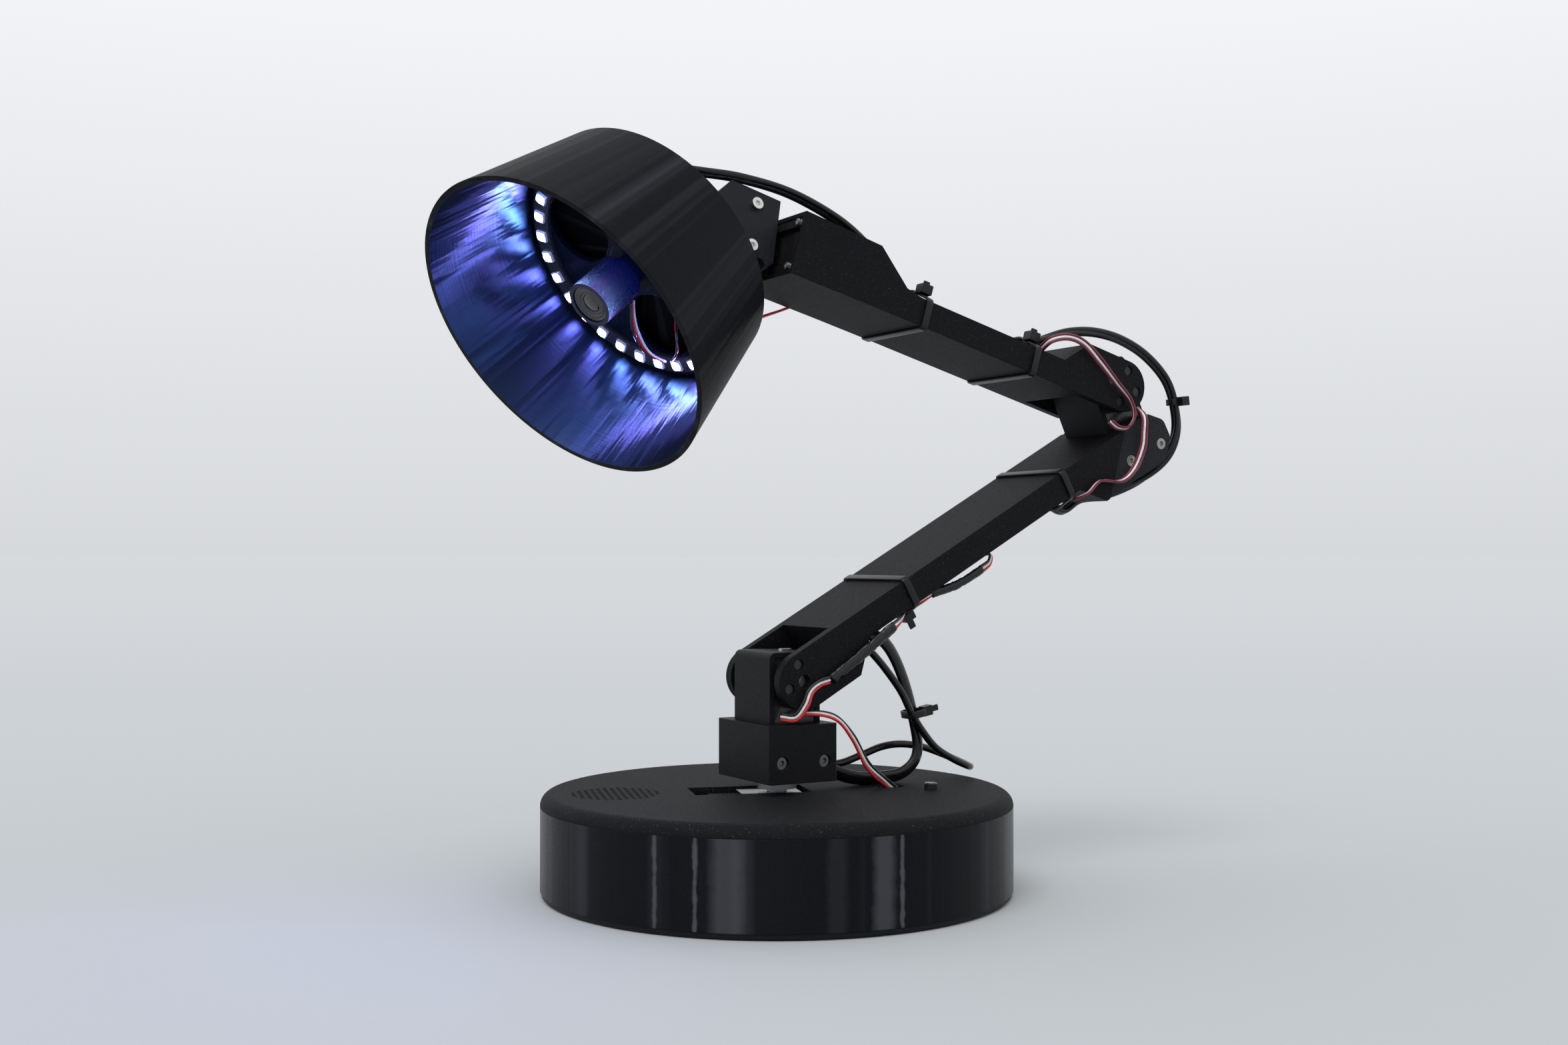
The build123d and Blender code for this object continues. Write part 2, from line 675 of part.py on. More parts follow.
ELBOW = tilted(ELBOW_X, ELBOW_Z, 0)
UPPER = tilted(ELBOW_X, ELBOW_Z, UPPER_ANGLE)
HOUSING_LOW = WRIST_LIFT - 14.5
HOUSING_HIGH = WRIST_LIFT + 14.5
HOUSING_BACK = -151.0
WRIST_DEPTH = 34.0
UPPER_SIDE = [
    (0, EAR_R),
    (-26.2, EAR_R),
    (-38.6, 0),
    (-124.0, 0),
    (-133.0, 1.4),
    (HOUSING_BACK, HOUSING_HIGH - 0.6),
    (WRIST_X, HOUSING_HIGH),
    (WRIST_X, HOUSING_LOW),
    (HOUSING_BACK + 3, HOUSING_LOW + 0.6),
    (-120.0, -EAR_R),
    (0, -EAR_R),
]

with BuildPart() as upper_arm_beam:
    with BuildSketch(UPPER.offset(-ARM_HALF)):
        Polygon(*UPPER_SIDE, align=None)
        Circle(EAR_R)
    extrude(amount=2 * ARM_HALF)
    with BuildSketch(UPPER.offset(-ARM_HALF + EAR_T)):
        Polygon((-24, -20), (20, -20), (20, 20), (-24, 20), align=None)
    extrude(amount=2 * (ARM_HALF - EAR_T), mode=Mode.SUBTRACT)
    with BuildSketch(UPPER.offset(-22.5)):
        with Locations((WRIST_X + WRIST_DEPTH / 2 - 1, WRIST_LIFT)):
            Rectangle(WRIST_DEPTH + 2, 24.8)
    extrude(amount=45, mode=Mode.SUBTRACT)
    with BuildSketch(UPPER):
        Circle(2.1)
    extrude(amount=-40, mode=Mode.SUBTRACT)
    add(screw_seats(ELBOW, ELBOW_SEATS), mode=Mode.SUBTRACT)
save(upper_arm_beam.part, "upper_arm_beam")

save(horn(ELBOW), "elbow_horn")
save(horn_screws(ELBOW, ELBOW_SEATS, 1.2), "elbow_horn_screws")
save(pivot_bolt(ELBOW), "elbow_pivot_bolt")

with BuildPart() as upper_arm_ties:
    for at in UPPER_TIES:
        add(beam_tie(UPPER, at, 0.0, -BEAM_T, 1))
save(upper_arm_ties.part, "upper_arm_ties")

# Wrist servo in the arm's open end, its shaft along the arm
WRIST_MOUTH = Plane(
    origin=UPPER.from_local_coords((WRIST_X, WRIST_LIFT, -WRIST_Y)), x_dir=(0, -1, 0), z_dir=-UPPER.x_dir
)
with BuildPart() as wrist_servo:
    with BuildSketch(WRIST_MOUTH.offset(-33)):
        with Locations((WRIST_Y, 0)):
            Rectangle(44.6, 24.5)
    extrude(amount=30.5)
    with BuildSketch(WRIST_MOUTH.offset(-2.5)):
        with Locations((WRIST_Y, 10.3), (WRIST_Y, -10.3)):
            Rectangle(44.6, 3.9)
    extrude(amount=2.1)
    with BuildSketch(WRIST_MOUTH.offset(-2.5)):
        Circle(7.0)
    extrude(amount=2.0)
save(wrist_servo.part, "wrist_servo")

with BuildPart() as wrist_servo_screws:
    with BuildSketch(WRIST_MOUTH.offset(-0.4)):
        with Locations((WRIST_Y, 0)):
            with GridLocations(38, 20.6, 2, 2):
                Circle(1.6)
    extrude(amount=1.0)
    with BuildSketch(WRIST_MOUTH.offset(0.1)):
        with Locations((WRIST_Y, 0)):
            with GridLocations(38, 20.6, 2, 2):
                Rectangle(2.2, 0.5)
                Rectangle(0.5, 2.2)
    extrude(amount=1.0, mode=Mode.SUBTRACT)
save(wrist_servo_screws.part, "wrist_servo_screws")

# ---------------------------------------------------------------- head

TURN = radians(ROLL)
ARM_DOWN = -UPPER.y_dir
NEAR = Vector(0, -1, 0)
HEAD = Plane(
    origin=WRIST_MOUTH.origin,
    x_dir=WRIST_MOUTH.z_dir,
    z_dir=NEAR * cos(TURN) - ARM_DOWN * sin(TURN),
)
LAMP_DIR = HEAD.x_dir * cos(radians(LAMP_TILT)) + HEAD.y_dir * sin(radians(LAMP_TILT))
LAMP = Plane(origin=HEAD.from_local_coords((RING_A, RING_P, 0)), x_dir=HEAD.z_dir, z_dir=LAMP_DIR)
HORN_FACE = Plane(origin=HEAD.origin, x_dir=HEAD.z_dir, z_dir=HEAD.x_dir)
HEAD_X0 = 2.2
HEAD_X1 = 28.0
HEAD_Y0 = -18.6
HEAD_Y1 = 13.6
HEAD_HALF = 17.0
WEDGE_HALF = 13.0

with BuildPart() as wrist_horn:
    with BuildSketch(HORN_FACE.offset(-0.4)):
        Circle(5.0)
    extrude(amount=1.1)
    with BuildSketch(HORN_FACE.offset(0.4)):
        Circle(HORN_R)
    extrude(amount=HEAD_X0 - 0.4)
save(wrist_horn.part, "wrist_horn")

# Printed mount: a box on the wrist horn, and a boss that runs along the lamp's axis to its back
BACK_X = RING_A - BACK_D * cos(radians(LAMP_TILT))
BACK_Y = RING_P - BACK_D * sin(radians(LAMP_TILT))


def to_back(x, y):
    """Where a line along the lamp's axis from (x, y) in the head's side plane meets the shade's back."""
    run = (BACK_X - x) * cos(radians(LAMP_TILT)) + (BACK_Y - y) * sin(radians(LAMP_TILT))
    return (x + run * cos(radians(LAMP_TILT)), y + run * sin(radians(LAMP_TILT)))


with BuildPart() as head_mount:
    with BuildSketch(HEAD.offset(-HEAD_HALF)):
        Polygon(
            (HEAD_X0, HEAD_Y0),
            (HEAD_X1, HEAD_Y0),
            (34.5, -9.0),
            (19.0, HEAD_Y1),
            (HEAD_X0, HEAD_Y1),
            align=None,
        )
    extrude(amount=2 * HEAD_HALF)
    with BuildSketch(HEAD.offset(-WEDGE_HALF)):
        Polygon(
            (HEAD_X0 + 1.5, HEAD_Y1 - 4),
            (HEAD_X1, HEAD_Y0 + 4),
            to_back(HEAD_X1, HEAD_Y0 + 1),
            to_back(4, HEAD_Y1),
            (4, HEAD_Y1),
            align=None,
        )
    extrude(amount=2 * WEDGE_HALF)
    for sign in (-1, 1):
        with BuildSketch(HEAD.offset(sign * (HEAD_HALF + 1))):
            with Locations((14.5, -1 - SCREW_HALF), (14.5, -1 + SCREW_HALF)):
                Circle(SCREW_R + 0.02)
        extrude(amount=-sign * 9, mode=Mode.SUBTRACT)
save(head_mount.part, "head_mount")

with BuildPart() as head_mount_screws:
    for sign in (-1, 1):
        with BuildSketch(HEAD.offset(sign * HEAD_HALF)):
            with Locations((14.5, -1 - SCREW_HALF), (14.5, -1 + SCREW_HALF)):
                Circle(2.75)
        extrude(amount=sign * 1.9)
        with BuildSketch(HEAD.offset(sign * HEAD_HALF)):
            with Locations((14.5, -1 - SCREW_HALF), (14.5, -1 + SCREW_HALF)):
                Circle(SCREW_R)
        extrude(amount=-sign * 7.5)
    for sign in (-1, 1):
        with BuildSketch(HEAD.offset(sign * (HEAD_HALF + 0.9))):
            with Locations((14.5, -1 - SCREW_HALF), (14.5, -1 + SCREW_HALF)):
                RegularPolygon(1.35, 6)
        extrude(amount=sign * 2.0, mode=Mode.SUBTRACT)
save(head_mount_screws.part, "head_mount_screws")

# Conical shade with a flat back
DEPTH = MOUTH_D + BACK_D
with BuildPart() as shade:
    with Locations(Location(LAMP.offset(-BACK_D))):
        Cone(BACK_R, MOUTH_R, DEPTH, align=(Align.CENTER, Align.CENTER, Align.MIN))
        with Locations((0, 0, SHADE_WALL)):
            slope = (MOUTH_R - BACK_R) / DEPTH
            inner_low = BACK_R - SHADE_WALL + slope * SHADE_WALL
            inner_high = MOUTH_R - SHADE_WALL + slope
            Cone(
                inner_low,
                inner_high,
                DEPTH - SHADE_WALL + 0.001,
                align=(Align.CENTER, Align.CENTER, Align.MIN),
                mode=Mode.SUBTRACT,
            )
    with BuildSketch(LAMP.offset(-BACK_D - 1)):
        with Locations((-16.6, -34.4)):
            Circle(3.0)
        with Locations((-8, 44)):
            Circle(3.5)
    extrude(amount=6, mode=Mode.SUBTRACT)
save(shade.part, "shade")

# Inner plate with three round openings that carries the light ring and the camera
PLATE_BACK = -5.0
PLATE_FRONT = -2.0
with BuildPart() as lamp_plate:
    with BuildSketch(LAMP.offset(PLATE_BACK)):
        Circle(BACK_R - 1.6)
        with PolarLocations(31.5, 3, 1):
            Circle(16.2, mode=Mode.SUBTRACT)
    extrude(amount=PLATE_FRONT - PLATE_BACK)
    with BuildSketch(LAMP.offset(-BACK_D + SHADE_WALL)):
        with PolarLocations(51.5, 3, 61):
            Circle(3.5)
    extrude(amount=BACK_D - SHADE_WALL + PLATE_BACK)
save(lamp_plate.part, "lamp_plate")

with BuildPart() as light_ring:
    with BuildSketch(LAMP.offset(PLATE_FRONT)):
        Circle(RING_R + 3.8)
        Circle(RING_R - 3.8, mode=Mode.SUBTRACT)
    extrude(amount=1.6)
save(light_ring.part, "light_ring")

with BuildPart() as ring_leds:
    with BuildSketch(LAMP.offset(PLATE_FRONT + 1.6)):
        with PolarLocations(RING_R, LED_COUNT, LED_PHASE):
            Rectangle(5, 5)
    extrude(amount=1.6)
save(ring_leds.part, "ring_leds")

# Thin supply wires from the camera to the light ring and back through the plate
leads(
    "lamp_wires",
    THIN_D,
    [
        tuple(LAMP.from_local_coords((-5.0, -11.0, 9.0))),
        tuple(LAMP.from_local_coords((-13.0, -20.0, 11.0))),
        tuple(LAMP.from_local_coords((-22.0, -32.0, 8.0))),
        tuple(LAMP.from_local_coords((-25.0, -41.0, 2.6))),
    ],
    [
        tuple(LAMP.from_local_coords((-20.0, -42.6, 2.6))),
        tuple(LAMP.from_local_coords((-11.0, -40.6, 3.4))),
        tuple(LAMP.from_local_coords((-6.6, -34.0, 0.6))),
        tuple(LAMP.from_local_coords((-8.0, -28.0, -7.0))),
    ],
)

# Camera on a hub in the middle of the plate
CAMERA_FRONT = 31.0
with BuildPart() as camera_hub:
    with BuildSketch(LAMP.offset(PLATE_FRONT)):
        Circle(12)
    extrude(amount=3)
    with BuildSketch(LAMP.offset(PLATE_FRONT + 3)):
        Circle(7)
    extrude(amount=7)
save(camera_hub.part, "camera_hub")

with BuildPart() as camera_body:
    with BuildSketch(LAMP.offset(PLATE_FRONT + 10)):
        Circle(10.4)
    extrude(amount=CAMERA_FRONT - PLATE_FRONT - 10)
    fillet(camera_body.edges().sort_by(Axis(LAMP.origin, LAMP.z_dir))[0], radius=2)
    with BuildSketch(LAMP.offset(CAMERA_FRONT - 1.6)):
        Circle(8.6)
    extrude(amount=3, mode=Mode.SUBTRACT)
save(camera_body.part, "camera_body")

with BuildPart() as camera_lens:
    with BuildSketch(LAMP.offset(CAMERA_FRONT - 1.6)):
        Circle(8.5)
    extrude(amount=1.0)
    with BuildSketch(LAMP.offset(CAMERA_FRONT - 0.6)):
        Circle(4.6)
    extrude(amount=1.2)
save(camera_lens.part, "camera_lens")

# ---------------------------------------------------------------- leads


def under(x, drop, near):
    """Point below the lower arm: x along it, drop below its underside, near towards its near side."""
    return tuple(LOWER.from_local_coords((x, -drop, near)))


def over(x, rise, near):
    """Point above the upper arm: x along it from the elbow, rise above its top face."""
    return tuple(UPPER.from_local_coords((x, rise, near)))


# Held under the lower arm and on top of the upper arm by the ties
leads(
    "lower_arm_leads",
    LEAD_D,
    [
        under(52, 3.2, 5.5),
        under(68, 3.0, 5.5),
        under(100, 4.2, 5),
        under(136, 4.2, 5),
        under(170, 3.0, 6),
    ],
    [
        under(52, 3.2, -5.5),
        under(68, 3.0, -5.5),
        under(100, 4.2, -5),
        under(136, 4.2, -5),
        under(170, 3.0, -5),
    ],
)
leads(
    "upper_arm_leads",
    LEAD_D,
    [over(-56, 3.0, 6), over(-74, 3.8, 6), over(-100, 3.8, 5), over(-120, 3.0, 5)],
    [over(-56, 3.0, -5), over(-74, 3.8, -5), over(-100, 3.8, -5), over(-120, 3.0, -5)],
)

# Loop from the upper arm's top, round the elbow, to the lower arm's underside
leads(
    "elbow_bundle",
    LEAD_D,
    [
        over(-54.8, 3.0, 6),
        over(-43, 10.0, 8),
        (157.5, -11, 256.8),
        (173.5, -12, 257.9),
        (190.0, -12, 255.2),
        (206.0, -12, 248.2),
        (219.5, -12, 236.6),
        (227.0, -12, 222.5),
        (227.2, -11, 209.5),
        (221.9, -8, 197.4),
        (211.0, -2, 187.0),
        (194.5, 5, 179.4),
        (179.6, 8, 176.6),
        under(186.0, 15.8, -9),
        under(179.2, 8.8, -8),
        under(173.6, 4.4, -6.5),
    ],
)
leads(
    "link_ribbon",
    RIBBON_D,
    [
        over(-52, 2.0, 20),
        (143.4, -27.0, 251.6),
        (153.6, -27.6, 249.6),
        (163.3, -27.7, 241.7),
        (173.7, -27.8, 231.7),
        (182.1, -27.8, 224.0),
        (184.8, -27.6, 216.6),
        (181.4, -27.2, 210.8),
        (175.6, -26.2, 210.6),
    ],
)
leads(
    "elbow_ribbon",
    RIBBON_D,
    [
        (192.4, -18.2, 222.6),
        (191.4, -26.8, 216.8),
        (191.2, -27.4, 208.5),
        (190.2, -27.3, 201.0),
        (185.3, -27.0, 190.9),
        (177.0, -26.8, 184.6),
        (164.0, -26.7, 184.2),
        under(177.4, 2.6, 27.0),
        under(172.8, 3.2, 21.6),
    ],
)

# From the turret box's rear port up to the lower arm
leads(
    "shoulder_lead",
    LEAD_D,
    [
        under(47, 3.0, 7.5),
        (50.6, -9.2, 109.4),
        (56.9, -9.5, 101.1),
        (62.7, -9.5, 88.1),
        (67.0, -9.5, 73.4),
        (69.3, -9.5, 61.0),
        (67.2, -9.5, 53.6),
        (60.4, -9.5, 48.8),
        (50.2, -9.2, 47.4),
        (37.0, -8.0, 47.8),
        (26.5, -6.4, 51.0),
        (17.4, -5.0, 55.2),
    ],
)
leads(
    "sensor_lead",
    THIN_D + 0.9,
    [
        under(40.4, 2.0, 14),
        (39.6, -14.0, 106.4),
        (47.3, -14.0, 98.5),
        (56.8, -14.0, 87.0),
        (62.4, -14.4, 76.8),
        (68.4, -14.2, 68.4),
        (76.2, -14.0, 60.0),
        (86.1, -13.6, 54.2),
        (95.5, -11.6, 50.4),
        (101.6, -5.6, 49.0),
        (100.8, 2.0, 50.6),
        (92.6, 4.6, 54.4),
        (80.7, 4.0, 58.4),
        (68.8, 4.0, 60.3),
        (58.0, 3.8, 59.6),
        (47.0, 3.8, 56.4),
        (36.5, 4.4, 53.4),
        (27.0, 4.4, 53.4),
        (17.4, 4.4, 55.4),
    ],
)
leads(
    "shoulder_ribbon",
    RIBBON_D,
    [
        (-8.4, -18.2, 78.4),
        (-4.6, -24.6, 78.4),
        (-1.2, -27.2, 84.0),
        (1.2, -27.5, 89.6),
        (6.0, -27.2, 92.9),
        (11.4, -26.8, 94.2),
    ],
)
leads(
    "splices",
    SLEEVE_D,
    [under(11.2, 5.4, 26.6), under(24, 4.6, 26.8), under(38, 3.2, 26.6), under(50, 2.0, 26.2)],
    [under(82, 2.4, 19), under(94, 5.4, 19.4), under(107, 6.2, 19.4), under(116, 2.6, 19)],
)

# From the shoulder servo down into the base
leads(
    "base_ribbon",
    RIBBON_D,
    [
        (-3.5, -18.8, 77.9),
        (3.6, -22.4, 79.6),
        (16.4, -22.8, 77.4),
        (26.0, -22.4, 68.0),
        (35.0, -20.4, 55.0),
        (44.6, -17.8, 47.0),
        (50.2, -17.2, 38.6),
    ],
)

# Slack arc from the upper arm over the wrist to the back of the lamp
leads(
    "head_leads",
    HEAD_LEAD_D,
    [
        over(-121.4, 3.2, 4),
        over(-134, 11.6, 3),
        over(-147, 20.4, 2),
        over(-165, 26.6, 1),
        over(-190, 29.2, 0),
        over(-214, 26.8, -1),
        over(-231, 23.4, -4),
        (-54.0, 10.0, 318.6),
        (-70.0, 16.6, 319.4),
        (-81.0, 20.2, 318.0),
        (-88.6, 18.6, 312.3),
    ],
    [
        (24.0, 26.4, 265.5),
        (13.6, 25.8, 261.2),
        (2.0, 23.5, 257.3),
        (-11.0, 20.5, 254.0),
        (-25.0, 17.5, 251.6),
        (-37.0, 16.0, 251.6),
    ],
)
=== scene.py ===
"""Looks of the desk robot arm: materials on the CAD nodes, and meshes for leads, ties, lights and lens."""

import math

import bmesh
import bpy
from mathutils import Matrix, Vector, noise


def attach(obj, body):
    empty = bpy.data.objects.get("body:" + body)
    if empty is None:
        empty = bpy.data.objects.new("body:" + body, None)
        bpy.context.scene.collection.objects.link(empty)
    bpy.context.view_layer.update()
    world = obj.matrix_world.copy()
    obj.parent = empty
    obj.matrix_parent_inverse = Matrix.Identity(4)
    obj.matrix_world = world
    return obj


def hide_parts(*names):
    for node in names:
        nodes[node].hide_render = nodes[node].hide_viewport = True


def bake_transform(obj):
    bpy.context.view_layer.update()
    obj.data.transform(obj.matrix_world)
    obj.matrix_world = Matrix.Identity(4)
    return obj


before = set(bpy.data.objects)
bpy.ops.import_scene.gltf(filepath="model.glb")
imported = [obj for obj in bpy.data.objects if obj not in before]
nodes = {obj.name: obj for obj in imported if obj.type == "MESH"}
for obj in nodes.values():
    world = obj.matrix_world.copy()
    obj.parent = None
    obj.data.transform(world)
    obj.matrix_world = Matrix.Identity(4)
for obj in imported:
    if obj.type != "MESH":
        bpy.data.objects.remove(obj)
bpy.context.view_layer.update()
MM = 0.001

# ---------------------------------------------------------------- frames of the object, in mm


def frame_at(origin, x_dir, z_dir):
    """Matrix of a local frame from its origin, x direction and z direction."""
    x, z = Vector(x_dir).normalized(), Vector(z_dir).normalized()
    y = z.cross(x)
    rows = [(x[i], y[i], z[i], origin[i]) for i in range(3)]
    return Matrix([*rows, (0, 0, 0, 1)])


def side_frame(x, z, degrees):
    """Frame in the arm's plane, local x turned up by degrees, local z towards the near side."""
    turn = math.radians(degrees)
    return frame_at((x, 0, z), (math.cos(turn), 0, math.sin(turn)), (0, -1, 0))


LOWER = side_frame(0, 93.7, 29.3)
UPPER = side_frame(181.4, 231, -16)
ROLL = math.radians(14.7)
TILT = math.radians(56.1)
ARM_OUT = -Vector(UPPER.col[0][:3])
ARM_DOWN = -Vector(UPPER.col[1][:3])
NEAR = Vector((0, -1, 0))
HEAD_Z = NEAR * math.cos(ROLL) - ARM_DOWN * math.sin(ROLL)
HEAD_DOWN = ARM_DOWN * math.cos(ROLL) + NEAR * math.sin(ROLL)
WRIST = UPPER @ Vector((-192, 1.1, -10.25))
LAMP_Z = ARM_OUT * math.cos(TILT) + HEAD_DOWN * math.sin(TILT)
LAMP = frame_at(WRIST + 60.6 * ARM_OUT + 31.3 * HEAD_DOWN, HEAD_Z, LAMP_Z)


def under(x, drop, near):
    """Point below the lower arm."""
    return LOWER @ Vector((x, -drop, near))


def over(x, rise, near):
    """Point above the upper arm."""
    return UPPER @ Vector((x, rise, near))


def in_lamp(x, y, z):
    """Point in the lamp's own frame."""
    return LAMP @ Vector((x, y, z))


# ---------------------------------------------------------------- materials


class Shader:
    """A procedural material being put together."""

    def __init__(self, name):
        self.material = bpy.data.materials.new(name)
        self.material.use_nodes = True
        self.tree = self.material.node_tree
        self.surface = self.tree.nodes["Principled BSDF"]
        self.place = self.add("ShaderNodeTexCoord").outputs["Object"]
        self.normal = None

    def add(self, kind, links=None, **values):
        node = self.tree.nodes.new(kind)
        for key, value in values.items():
            setattr(node, key, value)
        for socket, source in (links or {}).items():
            if hasattr(source, "is_output"):
                self.tree.links.new(source, node.inputs[socket])
            else:
                node.inputs[socket].default_value = source
        return node

    def set(self, **values):
        for key, value in values.items():
            socket = self.surface.inputs[key.replace("_", " ")]
            if hasattr(value, "is_output"):
                self.tree.links.new(value, socket)
            else:
                socket.default_value = value

    def noise(self, scale, detail=2.0):
        made = self.add("ShaderNodeTexNoise", {"Vector": self.place, "Scale": scale, "Detail": detail})
        return made.outputs["Fac"]

    def lines(self, along, scale, detail=3.0):
        links = {"W": along, "Scale": scale, "Detail": detail}
        return self.add("ShaderNodeTexNoise", links, noise_dimensions="1D").outputs[0]

    def vector(self, operation, a, b):
        made = self.add("ShaderNodeVectorMath", {0: a, 1: b}, operation=operation)
        return made.outputs["Value" if operation == "DOT_PRODUCT" else "Vector"]

    def remap(self, value, low, high, to_low, to_high):
        links = {"Value": value, "From Min": low, "From Max": high, "To Min": to_low, "To Max": to_high}
        return self.add("ShaderNodeMapRange", links).outputs["Result"]

    def math(self, operation, a, b):
        return self.add("ShaderNodeMath", {0: a, 1: b}, operation=operation).outputs[0]

    def blend(self, factor, a, b):
        made = self.add("ShaderNodeMix", data_type="RGBA")
        for socket, value in ((made.inputs[0], factor), (made.inputs[6], a), (made.inputs[7], b)):
            if hasattr(value, "is_output"):
                self.tree.links.new(value, socket)
            else:
                socket.default_value = value if isinstance(value, float) else (*value, 1.0)
        return made.outputs[2]

    def bump(self, height, strength, distance=0.0004):
        links = {"Height": height, "Strength": strength, "Distance": distance}
        if self.normal is not None:
            links["Normal"] = self.normal
        self.normal = self.add("ShaderNodeBump", links).outputs[0]
        self.set(Normal=self.normal)

    def soften(self, radius=0.0005):
        self.normal = self.add("ShaderNodeBevel", {"Radius": radius}, samples=4).outputs[0]
        self.set(Normal=self.normal)


# Blue tint of reflections inside the shade, painted in for the LEDs' blue light
INSIDE_BLUE_LIGHT_TINT = (0.36, 0.62, 1.0)
INSIDE_ROUGHNESS_STEP = -0.08
LAYER_LINES = 900.0  # per metre along the axis
ROUND_WAVES = 5.0  # per radian round the axis
STREAKS = 4.2  # per radian round the axis
# Painted reflections: lighter streaks along the axis painted into the base colour, partly in place of real
# reflections
PAINTED_REFLECTION_COLOUR = (0.034, 0.036, 0.044)
# Pale colour of the seam lines and of the painted reflection bands in the base wall
SEAM_AND_REFLECTION_COLOUR = (0.13, 0.135, 0.15)
DUST_COLOUR = (0.25, 0.25, 0.27)


def lined(s, axis, centre, drawn, layers, waves, ripple):
    """Marks of printing round an axis as bumps, a highlight stretched along it, and a mask of long streaks
    along it for painted reflections.
    """
    towards = Vector(axis).normalized()
    across = (Vector((1, 0, 0)) - towards * towards.x).normalized()
    third = towards.cross(across)
    offset = s.vector("SUBTRACT", s.place, tuple(Vector(centre) * MM))
    along, first, second = (s.vector("DOT_PRODUCT", offset, tuple(d)) for d in (towards, across, third))
    s.angle = s.math("ARCTAN2", second, first)
    s.bump(s.lines(along, LAYER_LINES), layers, 0.0002)
    s.bump(s.lines(s.angle, ROUND_WAVES), waves, 0.0012)
    if ripple:
        s.bump(s.noise(70, 2), ripple, 0.0012)
    links = {"Vector": tuple(towards)}
    turned = s.add("ShaderNodeVectorTransform", links, convert_from="OBJECT", convert_to="WORLD")
    s.set(Anisotropic=drawn, Tangent=turned.outputs[0])
    # Mask of the long streaks that are painted in as reflections
    s.streaks = s.remap(s.lines(s.angle, STREAKS), 0.52, 0.76, 0.0, 1.0)


def printed(
    name,
    colour,
    rough,
    grain=0.3,
    shine=0.2,
    specks=0.0,
    edge=0.0006,
    lines=None,
    inner=None,
    seam_lines_and_reflection_bands=(),
):
    """Printed plastic: a fine grain, dust, lines round an axis with painted reflection streaks, pale seam
    lines and bands of painted reflection, and an inside painted dark blue.
    """
    s = Shader(name)
    s.soften(edge)
    fine = s.noise(1900, 3)
    dark = tuple(c * 0.6 for c in colour)
    light = tuple(c * 1.6 for c in colour)
    base = s.blend(s.remap(fine, 0.3, 0.75, 0.0, 1.0), dark, light)
    if specks:
        dots = s.remap(s.noise(1300, 2), 0.66, 0.76, 0.0, specks)
        base = s.blend(dots, base, DUST_COLOUR)
    s.set(Roughness=s.remap(s.noise(900, 3), 0.25, 0.75, rough - 0.05, rough + 0.05))
    s.set(Specular_IOR_Level=shine)
    s.bump(fine, grain)
    if lines:
        lined(s, *lines)
    # Painted reflections: lighter streaks along the axis in the base colour
    if lines:
        base = s.blend(s.math("MULTIPLY", s.streaks, 0.7), base, PAINTED_REFLECTION_COLOUR)
    # Pale seam lines left by printing, and wide bands of painted reflection in the same pale colour
    for middle, half, strength in seam_lines_and_reflection_bands:
        gap = s.math("ABSOLUTE", s.math("SUBTRACT", s.angle, math.radians(middle)), 0.0)
        wander = s.math("MULTIPLY", s.math("SUBTRACT", s.noise(220, 3), 0.5), 0.02)
        reach = math.radians(half)
        pale = s.remap(s.math("ADD", gap, wander), reach * 0.5, reach * 1.2 + 0.004, strength, 0.0)
        base = s.blend(pale, base, SEAM_AND_REFLECTION_COLOUR)
    # Inside of the shade painted dark blue with blue-tinted reflections, standing in for the LEDs' blue light
    # on the black plastic
    if inner:
        towards, centre, inside_painted_light, inside_shine = inner
        offset = s.vector("SUBTRACT", s.place, tuple(Vector(centre) * MM))
        out = s.vector("SUBTRACT", offset, s.vector("PROJECT", offset, tuple(towards)))
        facing = s.add("ShaderNodeTexCoord").outputs["Normal"]
        turned = s.vector("DOT_PRODUCT", facing, out)
        inside = s.math("LESS_THAN", turned, -0.03)
        base = s.blend(inside, base, inside_painted_light)
        s.set(Specular_IOR_Level=s.remap(inside, 0.0, 1.0, shine, inside_shine))
        s.set(Roughness=s.remap(inside, 0.0, 1.0, rough, rough + INSIDE_ROUGHNESS_STEP))
        s.set(Specular_Tint=s.blend(inside, (1.0, 1.0, 1.0), INSIDE_BLUE_LIGHT_TINT))
    s.set(Base_Color=base)
    return s.material


def metal(name, colour, rough, grain=0.15):
    """Bare metal with fine marks and uneven polish."""
    s = Shader(name)
    s.soften(0.0002)
    tone = s.blend(s.noise(400, 4), tuple(c * 0.8 for c in colour), colour)
    s.set(Base_Color=tone, Metallic=1.0)
    s.set(Roughness=s.remap(s.noise(900, 3), 0.3, 0.7, rough - 0.08, rough + 0.08))
    s.bump(s.noise(3000, 2), grain, 0.0001)
    return s.material


def glossy(name, colour, rough, wrinkle=0.1, scale=300, coat=0.0, shine=0.5):
    """Smooth plastic, rubber or lacquer with slight waviness."""
    s = Shader(name)
    tone = s.blend(s.noise(scale, 3), tuple(c * 0.7 for c in colour), tuple(min(1, c * 1.15) for c in colour))
    s.set(Base_Color=tone, Coat_Weight=coat, Coat_Roughness=0.12, Specular_IOR_Level=shine)
    s.set(Roughness=s.remap(s.noise(scale * 2, 2), 0.3, 0.7, max(0.03, rough - 0.07), rough + 0.07))
    s.bump(s.noise(scale, 2), wrinkle, 0.0005)
    return s.material


